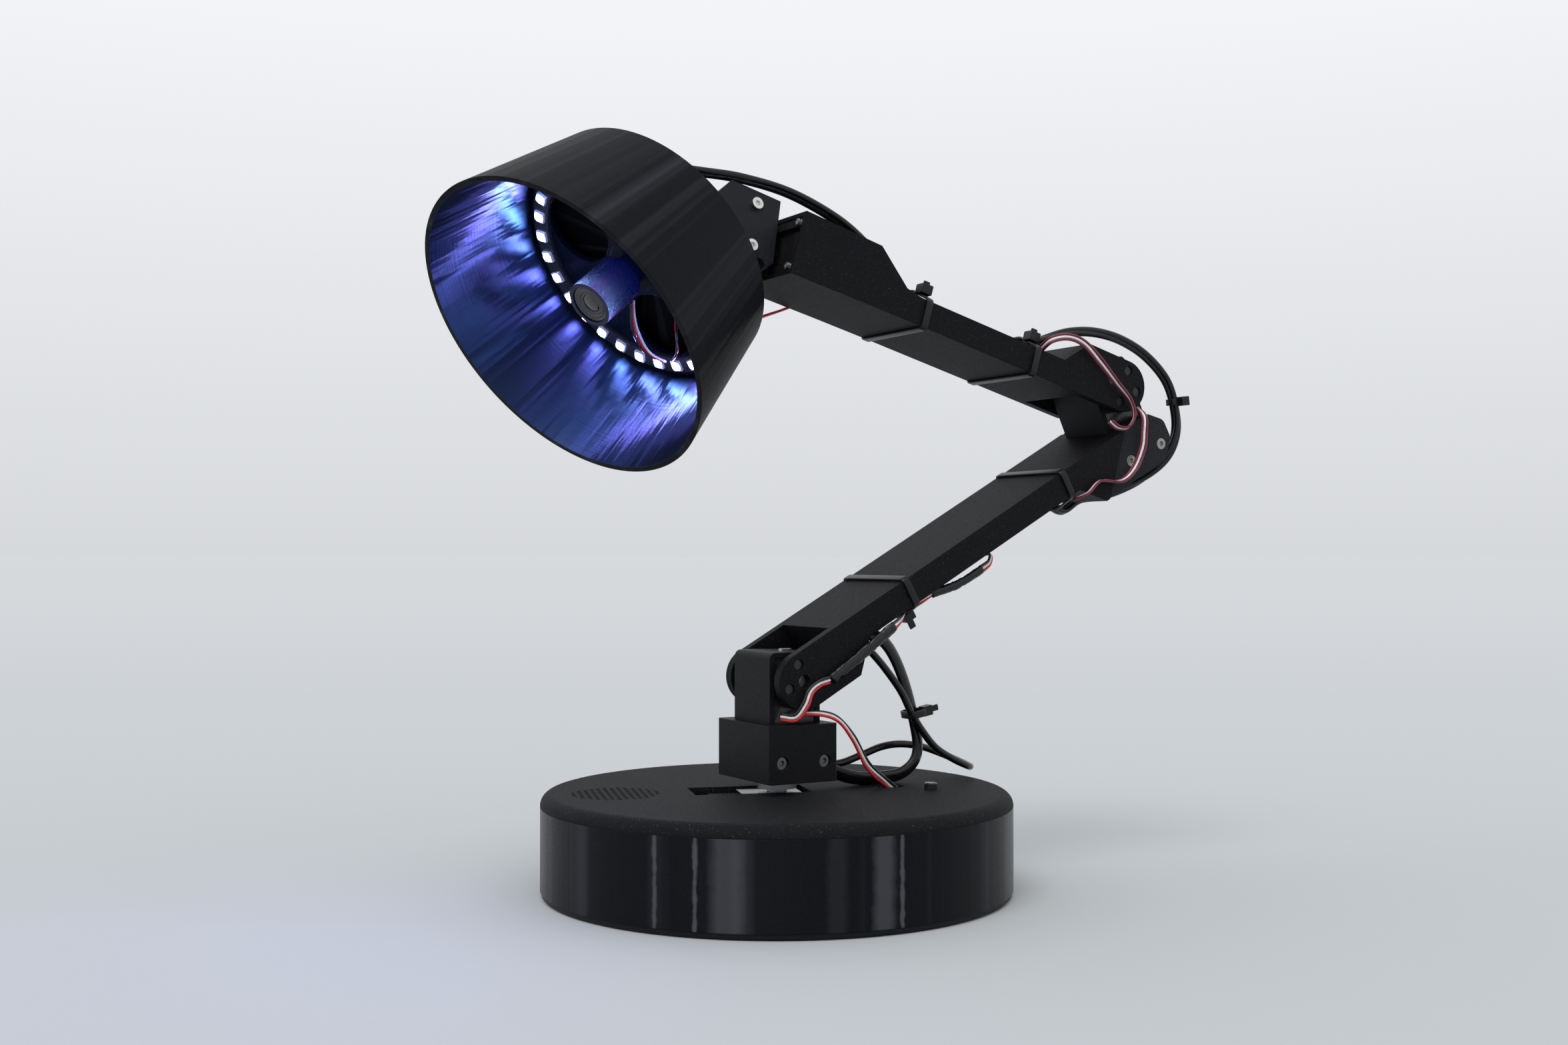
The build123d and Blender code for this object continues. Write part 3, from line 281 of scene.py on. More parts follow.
def glowing(name, cool, warm, strength):
    """Lit emitter whose tint drifts a little from place to place."""
    s = Shader(name)
    tint = s.blend(s.remap(s.noise(45, 1), 0.4, 0.6, 0.0, 1.0), cool, warm)
    s.set(Base_Color=(0.9, 0.9, 1.0, 1.0), Roughness=0.3, Emission_Color=tint)
    s.set(Emission_Strength=s.remap(s.noise(500, 1), 0.2, 0.8, strength * 0.9, strength * 1.1))
    return s.material


UP = (0, 0, 1)
LAMP_CENTRE = tuple(LAMP.col[3][:3])
ROUND_BASE = (UP, (0, 0, 0), 0.95, 0.2, 0.3, 0.0)
ROUND_SHADE = (LAMP_Z, LAMP_CENTRE, 0.95, 0.25, 0.6, 0.15)
ROUND_HEAD = (ARM_OUT, (0, 0, 0), 0.6, 0.6, 0.0, 0.0)
DARK = (0.0042, 0.0044, 0.0062)
# Middle and half width in degrees, and strength. The narrow ones are seam lines left by printing. The
# wide ones are painted reflections: pale bands painted where the wall reflects its surroundings in the rest
# camera's view. They are not real reflections, so they stay where they are when the camera or the lights
# move.
SEAMS_AND_REFLECTION_BANDS = (
    (-147.1, 0.4, 0.45),
    (-137.5, 0.4, 0.5),
    (-130.5, 3.6, 0.30),
    (-106.8, 2.2, 0.08),
    (-96.0, 2.5, 0.34),
    (-91.6, 0.4, 0.5),
)

M = {
    "arm": printed("arm_plastic", (0.0060, 0.0061, 0.0076), 0.55, 0.5, 0.09, specks=0.22),
    "box": printed("box_plastic", (0.0062, 0.0063, 0.0076), 0.5, 0.25, 0.12, specks=0.03),
    "lid": printed("lid_plastic", (0.0085, 0.0087, 0.0098), 0.62, 0.9, 0.07, specks=0.32, edge=0.0012),
    "wall": printed("wall_plastic", DARK, 0.42, 0.10, 0.10, lines=ROUND_BASE, seam_lines_and_reflection_bands=SEAMS_AND_REFLECTION_BANDS),
    "plate": printed("plate_plastic", DARK, 0.5, 0.3),
    "head": printed("head_plastic", (0.009, 0.010, 0.014), 0.42, 0.1, 0.16, lines=ROUND_HEAD),
    "shade": printed(
        "shade_plastic",
        DARK,
        0.36,
        0.05,
        0.08,
        edge=0.0004,
        lines=ROUND_SHADE,
        # Inside painted dark blue for the LEDs' blue light
        inner=(tuple(LAMP_Z), LAMP_CENTRE, (0.0008, 0.0016, 0.0075), 1.0),
    ),
    "lamp": printed("lamp_plastic", (0.002, 0.006, 0.020), 0.30, 0.10, 0.15),
    "socket": printed("socket_plastic", (0.017, 0.018, 0.021), 0.6, 0.5, 0.12, specks=0.10),
    "steel": metal("socket_screw_steel", (0.74, 0.73, 0.71), 0.26),
    "dull": metal("dull_screw", (0.40, 0.39, 0.38), 0.34),
    "alu": metal("servo_aluminium", (0.78, 0.78, 0.79), 0.33),
    "horn": metal("horn_aluminium", (0.42, 0.42, 0.44), 0.36),
    "brass": metal("post_brass", (0.72, 0.53, 0.23), 0.3),
    "screw": metal("box_screw", (0.16, 0.16, 0.165), 0.3),
    "ear_screw": glossy("ear_screw", (0.010, 0.010, 0.011), 0.4, 0.05, 700),
    "cover": glossy("servo_cover", (0.012, 0.012, 0.013), 0.24, 0.05, 700, 0.2),
    "cable": glossy("cable_jacket", (0.006, 0.006, 0.007), 0.26, 0.1, 260, 0.05, 0.35),
    "shrink": glossy("heat_shrink", (0.008, 0.008, 0.009), 0.22, 0.3, 230, 0.1, 0.35),
    "tie": glossy("tie_nylon", (0.008, 0.008, 0.009), 0.34, 0.10, 800, 0.0, 0.3),
    "red": glossy("wire_red", (0.62, 0.02, 0.025), 0.30, 0.06, 500),
    "maroon": glossy("wire_maroon", (0.16, 0.008, 0.03), 0.32, 0.06, 500),
    "white": glossy("wire_white", (0.86, 0.85, 0.83), 0.32, 0.06, 500),
    "black": glossy("wire_black", (0.018, 0.016, 0.016), 0.28, 0.06, 500),
    "board": glossy("board_lacquer", (0.02, 0.14, 0.07), 0.3, 0.04, 600),
    "ring": glossy("ring_lacquer", (0.03, 0.032, 0.045), 0.3, 0.04, 700),
    "paper": glossy("cone_paper", (0.03, 0.03, 0.03), 0.7, 0.2, 900),
    "led_body": glossy("led_body", (0.85, 0.86, 0.9), 0.35, 0.03, 900),
    "led_glow": glowing("led_glow", (0.22, 0.46, 1.0), (0.34, 0.26, 1.0), 170.0),
    "camera": glossy("camera_anodised", (0.0012, 0.005, 0.045), 0.26, 0.03, 900, 0.0, 0.3),
    "bezel": glossy("camera_bezel", (0.05, 0.05, 0.055), 0.3, 0.05, 1400, 0.2),
    "lens": glossy("lens_glass", (0.004, 0.004, 0.007), 0.05, 0.0, 300, 1.0),
}

NODE_LOOKS = {
    "plate": "bottom_plate",
    "wall": "base_shell",
    "lid": "base_lid",
    "box": "yaw_box shoulder_holder elbow_holder",
    "arm": "lower_arm_beam upper_arm_beam",
    "socket": "elbow_socket",
    "head": "head_mount",
    "shade": "shade",
    "lamp": "lamp_plate camera_hub",
    "steel": "base_screws head_mount_screws wrist_servo_screws yaw_servo_screws",
    "dull": "elbow_socket_screws shoulder_pivot_bolt elbow_pivot_bolt",
    "screw": "yaw_box_screws",
    "ear_screw": "shoulder_horn_screws elbow_horn_screws",
    "alu": "yaw_servo_case shoulder_servo_case elbow_servo_case",
    "horn": "yaw_horn shoulder_horn elbow_horn wrist_horn",
    "cover": "yaw_servo_covers shoulder_servo_covers elbow_servo_covers wrist_servo button_switch "
    "speaker_frame dc_inlet button_cap board_parts",
    "brass": "board_posts",
    "board": "control_board",
    "paper": "speaker_cone",
    "ring": "light_ring",
    "camera": "camera_body",
    "lens": "camera_lens",
    "tie": "lower_arm_ties upper_arm_ties",
    "led_body": "ring_leds",
    "cable": "lower_arm_leads upper_arm_leads elbow_bundle shoulder_lead sensor_lead head_leads",
    "shrink": "splices",
    "red": "link_ribbon elbow_ribbon shoulder_ribbon base_ribbon lamp_wires",
}
for look, names in NODE_LOOKS.items():
    for name in names.split():
        nodes[name].data.materials.clear()
        nodes[name].data.materials.append(M[look])

# ---------------------------------------------------------------- mesh tools


def make(name, verts, faces, looks, indices=None, smooth=True):
    """Mesh object from points in mm."""
    mesh = bpy.data.meshes.new(name)
    mesh.from_pydata([tuple(Vector(v) * MM) for v in verts], [], faces)
    for look in looks:
        mesh.materials.append(M[look])
    for i, face in enumerate(mesh.polygons):
        face.use_smooth = smooth
        if indices:
            face.material_index = indices[i]
    obj = bpy.data.objects.new(name, mesh)
    bpy.context.scene.collection.objects.link(obj)
    return obj


def spline(points, step=1.0):
    """Smooth line through the points, sampled about every step mm."""
    p = [Vector(v) for v in points]
    p = [2 * p[0] - p[1], *p, 2 * p[-1] - p[-2]]
    line = []
    for a, b, c, d in zip(p, p[1:], p[2:], p[3:]):
        count = max(2, int((c - b).length / step))
        for i in range(count):
            t = i / count
            square = 2 * a - 5 * b + 4 * c - d
            cube = 3 * b - a - 3 * c + d
            line.append(0.5 * (2 * b + (c - a) * t + square * t * t + cube * t**3))
    line.append(p[-2])
    return line


def carried(line, start_normal):
    """Direction and two side directions at each point of a line, carried along it without twisting."""
    frames = []
    side = Vector(start_normal)
    for i in range(len(line)):
        ahead = (line[min(i + 1, len(line) - 1)] - line[max(i - 1, 0)]).normalized()
        side = (side - ahead * side.dot(ahead)).normalized()
        frames.append((ahead, side, ahead.cross(side)))
    return frames


def tube(line, radius, sides=12, start_normal=(0, 0, 1), flat=1.0, rough=0.0):
    """Points and faces of a round or flattened tube along a line, with closed ends."""
    verts, faces = [], []
    for i, (point, (_, u, v)) in enumerate(zip(line, carried(line, start_normal))):
        for k in range(sides):
            angle = 2 * math.pi * k / sides
            out = u * math.cos(angle) + v * math.sin(angle) * flat
            size = radius * (1 + rough * noise.noise(Vector((point.x * 0.5, point.z * 0.5, k * 0.9))))
            verts.append(point + out * size)
        if i:
            for k in range(sides):
                a, b = (i - 1) * sides + k, (i - 1) * sides + (k + 1) % sides
                faces.append((a, b, b + sides, a + sides))
    last = len(verts) - sides
    faces.append(tuple(reversed(range(sides))))
    faces.append(tuple(range(last, last + sides)))
    return verts, faces


def joined(parts):
    """One list of points, faces and material numbers from several (points, faces, number)."""
    verts, faces, indices = [], [], []
    for part_verts, part_faces, number in parts:
        start = len(verts)
        verts += part_verts
        faces += [tuple(start + i for i in f) for f in part_faces]
        indices += [number] * len(part_faces)
    return verts, faces, indices


def cable(name, routes, radius, look, replaces=None, slot=None, **shape):
    """One object made of one or more round leads."""
    verts, faces, indices = joined([(*tube(spline(r), radius, **shape), 0) for r in routes])
    obj = make(name, verts, faces, [look], indices)
    if replaces:
        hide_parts(replaces)
    return obj


def ribbon(
    name,
    route,
    replaces=None,
    twist=0.5,
    colours=("red", "white", "black"),
    start=(0, 0, 1),
    pitch=1.3,
):
    """Flat servo lead: thin wires side by side that turn together along their route."""
    line = spline(route, 0.8)
    frames = carried(line, start)
    parts = []
    for k in range(len(colours)):
        offset = (k - (len(colours) - 1) / 2) * pitch
        strand = []
        for i, (point, (_, u, v)) in enumerate(zip(line, frames)):
            share = i / (len(line) - 1)
            angle = twist * math.pi * (share * share * (3 - 2 * share))
            wander = 0.25 * noise.noise(Vector((share * 6, k * 3.1, 0)))
            strand.append(point + (u * math.cos(angle) + v * math.sin(angle)) * offset + v * wander)
        parts.append((*tube(strand, pitch * 0.48, 10, start), k))
    verts, faces, indices = joined(parts)
    obj = make(name, verts, faces, list(colours), indices)
    if replaces:
        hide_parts(replaces)
    return obj


def lathe(name, profile, place, look, turns=64):
    """Mesh turned from a profile of (radius, height) about a frame's z axis."""
    verts, faces = [], []
    for r, z in profile:
        for k in range(turns):
            angle = 2 * math.pi * k / turns
            verts.append(place @ Vector((r * math.cos(angle), r * math.sin(angle), z)))
    for i in range(len(profile) - 1):
        for k in range(turns):
            a, b = i * turns + k, i * turns + (k + 1) % turns
            faces.append((a, b, b + turns, a + turns))
    faces.append(tuple(range(len(verts) - turns, len(verts))))
    return make(name, verts, faces, [look])


def bevelled(obj, width, segments=2):
    """Rounds the edges of a small mesh in place."""
    work = bmesh.new()
    work.from_mesh(obj.data)
    sharp = [e for e in work.edges if len(e.link_faces) == 2 and e.calc_face_angle() > 0.5]
    bmesh.ops.bevel(work, geom=sharp, offset=width * MM, segments=segments, affect="EDGES", profile=0.6)
    work.to_mesh(obj.data)
    work.free()
    return obj


def brick(place, centre, size):
    """Points and faces of a box in a frame."""
    verts = []
    for dx in (-0.5, 0.5):
        for dy in (-0.5, 0.5):
            for dz in (-0.5, 0.5):
                offset = Vector((dx * size[0], dy * size[1], dz * size[2]))
                verts.append(place @ (Vector(centre) + offset))
    faces = [(0, 1, 3, 2), (4, 6, 7, 5), (0, 4, 5, 1), (2, 3, 7, 6), (0, 2, 6, 4), (1, 5, 7, 3)]
    return verts, faces


def rounded_loop(corners, radius=1.6, steps=4):
    """Closed outline with its corners rounded."""
    loop = []
    count = len(corners)
    for i, corner in enumerate(corners):
        here = Vector(corner)
        before = (Vector(corners[i - 1]) - here).normalized()
        after = (Vector(corners[(i + 1) % count]) - here).normalized()
        for k in range(steps + 1):
            t = k / steps
            loop.append(here + before * radius * (1 - t) ** 2 + after * radius * t**2)
    return loop


def band(place, at, corners, width, thick):
    """Points and faces of a strap of a width round an outline in the frame's y and z, at x."""
    loop = rounded_loop(corners)
    middle = sum(loop, Vector((0, 0))) / len(loop)
    verts, faces = [], []
    for i, point in enumerate(loop):
        ahead = (loop[(i + 1) % len(loop)] - loop[i - 1]).normalized()
        out = Vector((ahead.y, -ahead.x))
        if out.dot(point - middle) < 0:
            out = -out
        for x, lift in ((-width / 2, 0.0), (-width / 2, thick), (width / 2, thick), (width / 2, 0.0)):
            spot = point + out * lift
            verts.append(place @ Vector((at + x, spot.x, spot.y)))
    count = len(loop)
    for i in range(count):
        j = (i + 1) % count
        for k in range(4):
            faces.append((i * 4 + k, i * 4 + (k + 1) % 4, j * 4 + (k + 1) % 4, j * 4 + k))
    return verts, faces


def beam_tie(name, place, at, top, bottom, lead_side, body, head_at=16.5, tail=9.0):
    """Cable tie round a beam and its leads: strap, head and cut tail."""
    face, plain = (bottom, top) if lead_side < 0 else (top, bottom)
    outer = face + lead_side * 6.0
    corners = [(plain, -24.6), (face, -24.6), (outer, -10), (outer, 10), (face, 24.6), (plain, 24.6)]
    strap = bevelled(make(name + "_strap", *band(place, at, corners, 3.4, 1.15), ["tie"]), 0.25)
    parts = [
        (*brick(place, (at, face + lead_side * 6.4, head_at), (5.6, 4.6, 6.2)), 0),
        (*brick(place, (at, face + lead_side * (8.4 + tail / 2 - 1), head_at + 0.8), (3.2, tail, 1.2)), 0),
    ]
    head = bevelled(make(name + "_head", *joined(parts)[:2], ["tie"], smooth=False), 0.35)
    for piece in (strap, head):
        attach(piece, body)
    return strap


# ---------------------------------------------------------------- cable ties on the arms

first_lower = beam_tie("tie_lower_1", LOWER, 67.0, 12.7, 0.0, -1, "lower_arm", 12.0, 5.5)
beam_tie("tie_lower_2", LOWER, 170.0, 12.7, 0.0, -1, "lower_arm", -14.0, 4.0)
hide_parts("lower_arm_ties")
first_upper = beam_tie("tie_upper_1", UPPER, -120.0, 0.0, -12.7, 1, "upper_arm", 17.5, 3.0)
beam_tie("tie_upper_2", UPPER, -55.5, 0.0, -12.7, 1, "upper_arm", 17.5, 3.0)
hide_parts("upper_arm_ties")

# ---------------------------------------------------------------- black leads

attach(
    cable(
        "leads_lower",
        [
            [
                under(52, 3.2, s * 5.5),
                under(68, 3, s * 5.5),
                under(100, 4.2, s * 5),
                under(136, 4.2, s * 5),
                under(170, 3, s * 5.5),
            ]
            for s in (1, -1)
        ],
        2.5,
        "cable",
        "lower_arm_leads",
    ),
    "lower_arm",
)
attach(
    cable(
        "leads_upper",
        [
            [over(-56, 3, s * 5.5), over(-74, 3.8, s * 5.5), over(-100, 3.8, s * 5), over(-120, 3, s * 5)]
            for s in (1, -1)
        ],
        2.5,
        "cable",
        "upper_arm_leads",
    ),
    "upper_arm",
)



def twisted(route, count, offset, turns, start=(0, 1, 0)):
    """Lines of several strands that wind slowly round one route."""
    line = spline(route, 2.0)
    frames = carried(line, start)
    strands = []
    for k in range(count):
        strand = []
        for i, (point, (_, u, v)) in enumerate(zip(line, frames)):
            share = i / (len(line) - 1)
            angle = 2 * math.pi * (k / count + turns * share) + 0.5 * math.sin(9 * share)
            strand.append(point + (u * math.cos(angle) + v * math.sin(angle)) * offset)
        strands.append(strand)
    return strands


def lead_tie(name, centre, ahead, half, head, tail=4.2):
    """Small cable tie round loose leads: half sizes of the strap, place of the head, reach of the tail."""
    place = frame_at(centre, ahead, Vector(ahead).cross((0, 1, 0)))
    w, h = half
    strap = make(name + "_strap", *band(place, 0, [(-w, -h), (w, -h), (w, h), (-w, h)], 3.2, 0.9), ["tie"])
    end = (0, head[1], head[2] + tail)
    parts = [(*brick(place, head, (4.6, 4.4, 4.8)), 0), (*brick(place, end, (2.8, 1.0, 5.0)), 0)]
    block = make(name + "_head", *joined(parts)[:2], ["tie"], smooth=False)
    for piece in (bevelled(strap, 0.2), bevelled(block, 0.3)):
        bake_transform(piece)


ELBOW_LOOP = [
    over(-54.8, 3.0, 6),
    over(-43, 10.0, 8),
    (157.5, -11, 256.8),
    (173.5, -12, 257.9),
    (190.0, -12, 255.2),
    (206.0, -12, 248.2),
    (219.5, -12, 236.6),
    (225.4, -12, 222.5),
    (226.4, -11, 209.5),
    (221.9, -8, 197.4),
    (211.0, -2, 187.0),
    (194.5, 5, 179.4),
    (179.6, 8, 176.6),
    under(186.0, 15.8, -9),
    under(179.2, 8.8, -8),
    under(172.0, 3.6, -6.5),
]
bundle = cable("elbow_loop", twisted(ELBOW_LOOP, 3, 1.15, 1.2), 1.5, "cable", "elbow_bundle")
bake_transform(bundle)
lead_tie("elbow_loop_tie", (224.7, -11.8, 226.0), (0.12, 0, -1), (2.5, 2.5), (0, -4.4, 2.2), 0.0)

SUPPLY_LEAD = [
    under(54, 3.0, 7.5),
    under(47, 3.0, 7.5),
    (50.6, -9.2, 109.4),
    (56.9, -9.5, 101.1),
    (62.7, -9.5, 88.1),
    (67.0, -9.5, 73.4),
    (69.3, -9.5, 61.0),
    (67.2, -9.5, 53.6),
    (60.4, -9.5, 48.8),
    (50.2, -9.2, 47.4),
    (37.0, -8.0, 47.8),
    (26.5, -6.4, 51.0),
    (16.6, -5.0, 55.4),
]
SENSOR_LEAD = [
    under(46, 2.4, 12),
    under(40.4, 2.4, 14),
    (39.6, -14.0, 106.4),
    (47.3, -14.0, 98.5),
    (56.8, -14.0, 87.0),
    (62.4, -14.4, 76.8),
    (68.4, -14.2, 68.4),
    (76.2, -14.0, 60.0),
    (86.1, -13.6, 54.2),
    (95.5, -11.6, 50.4),
    (101.6, -5.6, 49.0),
    (100.8, 2.0, 50.6),
    (92.6, 4.6, 54.4),
    (80.7, 4.0, 58.4),
    (68.8, 4.0, 60.3),
    (58.0, 3.8, 59.6),
    (47.0, 3.8, 56.4),
    (36.5, 4.4, 53.4),
    (27.0, 4.4, 53.4),
    (16.6, 4.4, 55.6),
]
supply = cable("shoulder_supply", [SUPPLY_LEAD], 3.4, "cable", "shoulder_lead", flat=0.62)
sensor = cable("shoulder_sensor", [SENSOR_LEAD], 1.7, "cable", "sensor_lead")
for piece in (supply, sensor):
    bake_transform(piece)
lead_tie("shoulder_loop_tie", (65.6, -11.6, 76.0), (0.2, 0, -1), (4.8, 3.4), (0, -1.5, 6.0))

HEAD_ARC = [
    over(-120, 3.2, 4),
    over(-134, 11.6, 3),
    over(-147, 20.4, 2),
    over(-165, 26.6, 1),
    over(-190, 29.2, 0),
    over(-214, 26.8, -1),
    over(-231, 23.4, -4),
    (-54.0, 10.0, 318.6),
    (-70.0, 16.6, 319.4),
    (-81.0, 20.2, 318.0),
    (-88.6, 18.6, 312.3),
]
head_leads = cable(
    "wrist_arc",
    [[Vector(p) + Vector((0, s * 1.7, -s * 0.4)) for p in HEAD_ARC] for s in (1, -1)],
    1.55,
    "cable",
    "head_leads",
)
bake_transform(head_leads)

# ---------------------------------------------------------------- servo ribbons and splices

link = ribbon(
    "ribbon_link",
    [
        over(-50, 2.0, 19),
        (135.0, -26.4, 250.6),
        (144.6, -27.2, 252.4),
        (153.6, -27.6, 249.8),
        (163.3, -27.7, 241.7),
        (173.7, -27.8, 231.7),
        (182.1, -27.8, 224.0),
        (184.8, -27.6, 216.6),
        (181.4, -27.2, 210.8),
        (175.6, -26.4, 210.4),
        (171.0, -26.0, 213.2),
    ],
    "link_ribbon",
    0.9,
    ("maroon", "white", "maroon"),
)
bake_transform(link)
elbow_lead = ribbon(
    "ribbon_elbow",
    [
        (192.4, -18.2, 222.6),
        (191.4, -26.8, 216.8),
        (191.2, -27.4, 208.5),
        (190.2, -27.3, 201.0),
        (185.3, -27.0, 190.9),
        (177.0, -26.8, 184.6),
        (164.0, -26.7, 184.2),
        under(177.4, 2.6, 27.0),
        under(172.8, 3.2, 21.6),
    ],
    "elbow_ribbon",
    0.6,
    ("maroon", "white", "maroon"),
    start=(1, 0, 0),
)
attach(elbow_lead, "lower_arm")
shoulder_lead = ribbon(
    "ribbon_shoulder",
    [
        (-8.4, -18.2, 78.4),
        (-4.6, -24.6, 78.4),
        (-1.2, -27.2, 84.0),
        (1.2, -27.5, 89.6),
        (6.0, -27.2, 92.9),
        (11.4, -26.8, 94.2),
    ],
    "shoulder_ribbon",
    0.35,
)
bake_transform(shoulder_lead)
base_lead = ribbon(
    "ribbon_base",
    [
        (-3.5, -18.8, 77.9),
        (3.6, -22.4, 79.8),
        (16.4, -22.8, 77.4),
        (26.0, -22.4, 68.0),
        (35.0, -20.4, 55.0),
        (47.4, -17.8, 45.6),
        (52.6, -17.2, 41.2),
        (51.2, -17.2, 37.4),
    ],
    "base_ribbon",
    0.45,
    start=(0, 1, 0.4),
)
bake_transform(base_lead)


def splice(name, line, radius=2.4):
    """Flattened heat-shrink sleeve over a joint in a lead."""
    obj = cable(name, [line], radius, "shrink", None, "splices", sides=20, flat=0.55, rough=0.22)
    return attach(obj, "lower_arm")


side_sleeve = splice(
    "sleeve_side",
    [under(11.2, 5.4, 26.6), under(24, 4.6, 26.8), under(38, 3.2, 26.6), under(51, 2.0, 26.2)],
)
splice(
    "sleeve_under",
    [under(80, 2.2, 19), under(94, 5.4, 19.4), under(107, 6.2, 19.4), under(110, 6.0, 19.4)],
    2.0,
)
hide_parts("splices")
for name, route in (
    (
        "ribbon_side_end",
        [under(50, 2.0, 26.2), under(56, 2.2, 24.0), under(61, 2.4, 20.0), under(66, 2.4, 15.0)],
    ),
    (
        "ribbon_under_end",
        [under(109, 6.1, 19.4), under(115, 5.6, 19.4), under(117.5, 2.6, 19), under(114, 0.9, 17)],
    ),
    ("ribbon_under_start", [under(68, 2.6, 15.0), under(74, 2.4, 17), under(81, 2.3, 19)]),
):
    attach(ribbon(name, route, twist=0.3), "lower_arm")

# ---------------------------------------------------------------- lamp: lights, camera front and wires

packages, domes = [], []
for k in range(30):
    angle = math.radians(184.4 + 12 * k)
    spin = Matrix.Rotation(angle, 4, "Z")
    place = LAMP @ spin
    packages.append((*brick(place, (50.9, 0, 0.35), (5.0, 5.0, 1.5)), 0))
    verts, faces = [], []
    rings = ((2.15, 1.12), (2.0, 1.32), (1.3, 1.52), (0.5, 1.58))
    for r, z in rings:
        for j in range(16):
            turn = 2 * math.pi * j / 16
            verts.append(place @ Vector((50.9 + r * math.cos(turn), r * math.sin(turn), z)))
    for i in range(len(rings) - 1):
        for j in range(16):
            a, b = i * 16 + j, i * 16 + (j + 1) % 16
            faces.append((a, b, b + 16, a + 16))
    faces.append(tuple(range(48, 64)))
    domes.append((verts, faces, 0))
led_bodies = bevelled(make("led_bodies", *joined(packages)[:2], ["led_body"], smooth=False), 0.25)
led_glow = make("led_glow", *joined(domes)[:2], ["led_glow"])
for piece in (led_bodies, led_glow):
    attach(piece, "head")
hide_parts("ring_leds")

bezel = lathe(
    "camera_bezel",
    [(9.0, 29.5), (8.5, 30.3), (7.7, 30.3), (7.5, 29.9), (6.9, 29.9), (6.7, 30.4), (5.9, 30.4), (5.6, 29.8)]
    + [(5.1, 29.6), (4.9, 29.9), (4.4, 29.9), (4.2, 29.5)],
    LAMP,
    "bezel",
)
glass = lathe(
    "camera_glass",
    [(4.4 * math.cos(t), 29.4 + 1.3 * math.sin(t)) for t in (0.0, 0.3, 0.6, 0.9, 1.2, 1.4)],
    LAMP,
    "lens",
    48,
)
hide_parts("camera_lens")
for piece in (bezel, glass):
    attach(piece, "head")

lamp_wires = ribbon(
    "lamp_wires_front",
    [in_lamp(-5, -11, 9), in_lamp(-13, -20, 11), in_lamp(-22, -32, 8), in_lamp(-25, -41, 2.0)],
    "lamp_wires",
    0.5,
    ("white", "red", "black"),
    start=tuple(LAMP_Z),
    pitch=1.1,
)
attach(lamp_wires, "head")
back_wires = ribbon(
    "lamp_wires_back",
    [in_lamp(-20, -42.6, 2.0), in_lamp(-11, -40.6, 3.6), in_lamp(-6.6, -34, 0.6), in_lamp(-8, -28, -7)],
    None,
    0.4,
    ("red", "black"),
    start=tuple(LAMP_Z),
    pitch=1.1,
)
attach(back_wires, "head")

tail = ribbon(
    "lamp_tail",
    [
        (26.0, 26.4, 266.4),
        (13.6, 25.8, 261.2),
        (2.0, 23.5, 257.3),
        (-11.0, 20.5, 254.0),
        (-25.0, 17.5, 251.6),
        (-38.0, 16.0, 251.6),
    ],
    None,
    0.4,
    ("red", "white"),
    start=(0, 1, 0),
    pitch=1.3,
)
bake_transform(tail)

# ---------------------------------------------------------------- stage, light and camera


def plain(name):
    """Pale stage surface with painted shade: its tone painted darker the more steeply the rest camera looks
    down on it.
    """
    s = Shader(name)
    deep = s.vector("DOT_PRODUCT", s.place, CAMERA_DIRECTION)
    reach = s.math("ADD", s.math("MAXIMUM", deep, NEAREST_FLOOR), CAMERA_DISTANCE)
    near = s.math("DIVIDE", CAMERA_HEIGHT, reach)
    shade = s.add("ShaderNodeValToRGB", {0: s.remap(near, 0.0, 0.3, 0.0, 1.0)})
    for place, _ in FLOOR_PAINTED_SHADES[2:]:
        shade.color_ramp.elements.new(place)
    for element, (place, colour) in zip(shade.color_ramp.elements, FLOOR_PAINTED_SHADES):
        element.position = place
        element.color = (*colour, 1.0)
    s.set(Base_Color=shade.outputs[0])
    s.set(Roughness=1.0, Specular_IOR_Level=0.0)
    return s.material


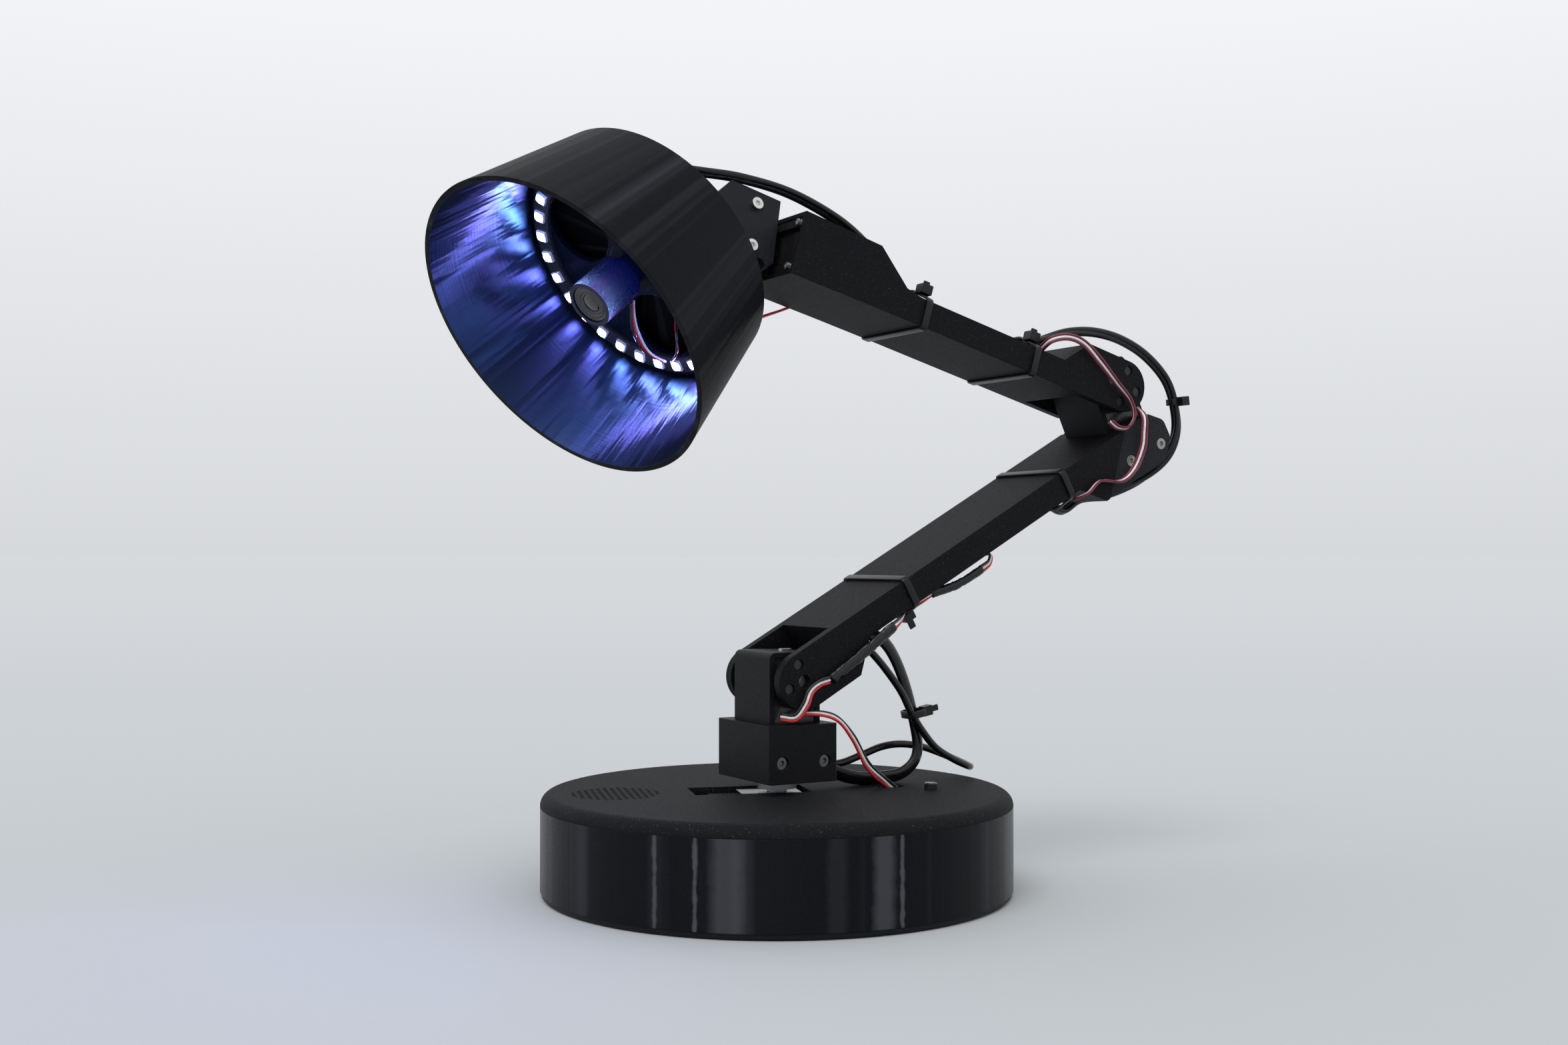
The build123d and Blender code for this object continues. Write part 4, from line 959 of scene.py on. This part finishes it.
# The rest camera's level direction, distance and height in metres. The floor's painted shades are fitted to
# that view, where they meet the backdrop without an edge. In other views the edge shows.
CAMERA_DIRECTION = (0.5, 0.866, 0.0)
CAMERA_DISTANCE = 0.774
CAMERA_HEIGHT = 0.149
NEAREST_FLOOR = -0.25
FLOOR_PAINTED_SHADES = (
    (0.0, (0.584, 0.595, 0.597)),
    (0.28, (0.528, 0.545, 0.551)),
    (0.60, (0.497, 0.517, 0.524)),
    (0.91, (0.494, 0.515, 0.524)),
)
M["floor"] = plain("floor")
floor_points = [(x, y, -0.3) for y in (-30000, 60000) for x in (-40000, 40000)]
floor = make("floor", floor_points, [(0, 1, 3, 2)], ["floor"], smooth=False)

world = bpy.data.worlds.new("studio")
bpy.context.scene.world = world
world.use_nodes = True
sky = world.node_tree
direction = sky.nodes.new("ShaderNodeTexCoord")
parts = sky.nodes.new("ShaderNodeSeparateXYZ")
ramp = sky.nodes.new("ShaderNodeValToRGB")
sky.links.new(direction.outputs["Generated"], parts.inputs[0])
sky.links.new(parts.outputs["Z"], ramp.inputs[0])
sky.links.new(ramp.outputs[0], sky.nodes["Background"].inputs["Color"])
ramp.color_ramp.elements[0].color = (0.675, 0.69, 0.71, 1.0)
ramp.color_ramp.elements[1].position = 0.31
ramp.color_ramp.elements[1].color = (0.90, 0.915, 0.95, 1.0)


sun = bpy.data.lights.new("overhead", "SUN")
sun.energy = 1.0
sun.angle = math.radians(35)
sun_spot = bpy.data.objects.new("overhead", sun)
sun_spot.rotation_euler = Vector((-0.45, -0.35, 1.0)).to_track_quat("Z", "Y").to_euler()
bpy.context.scene.collection.objects.link(sun_spot)

camera = bpy.data.cameras.new("camera")
camera.sensor_width = 36.0
camera.lens = 39.80
camera_spot = bpy.data.objects.new("camera", camera)
camera_spot.location = (-0.3844, -0.6722, 0.1494)
camera_spot.rotation_euler = (math.radians(91.02), 0, math.radians(-30))
bpy.context.scene.collection.objects.link(camera_spot)
bpy.context.scene.camera = camera_spot
bpy.context.scene.view_settings.view_transform = "Standard"
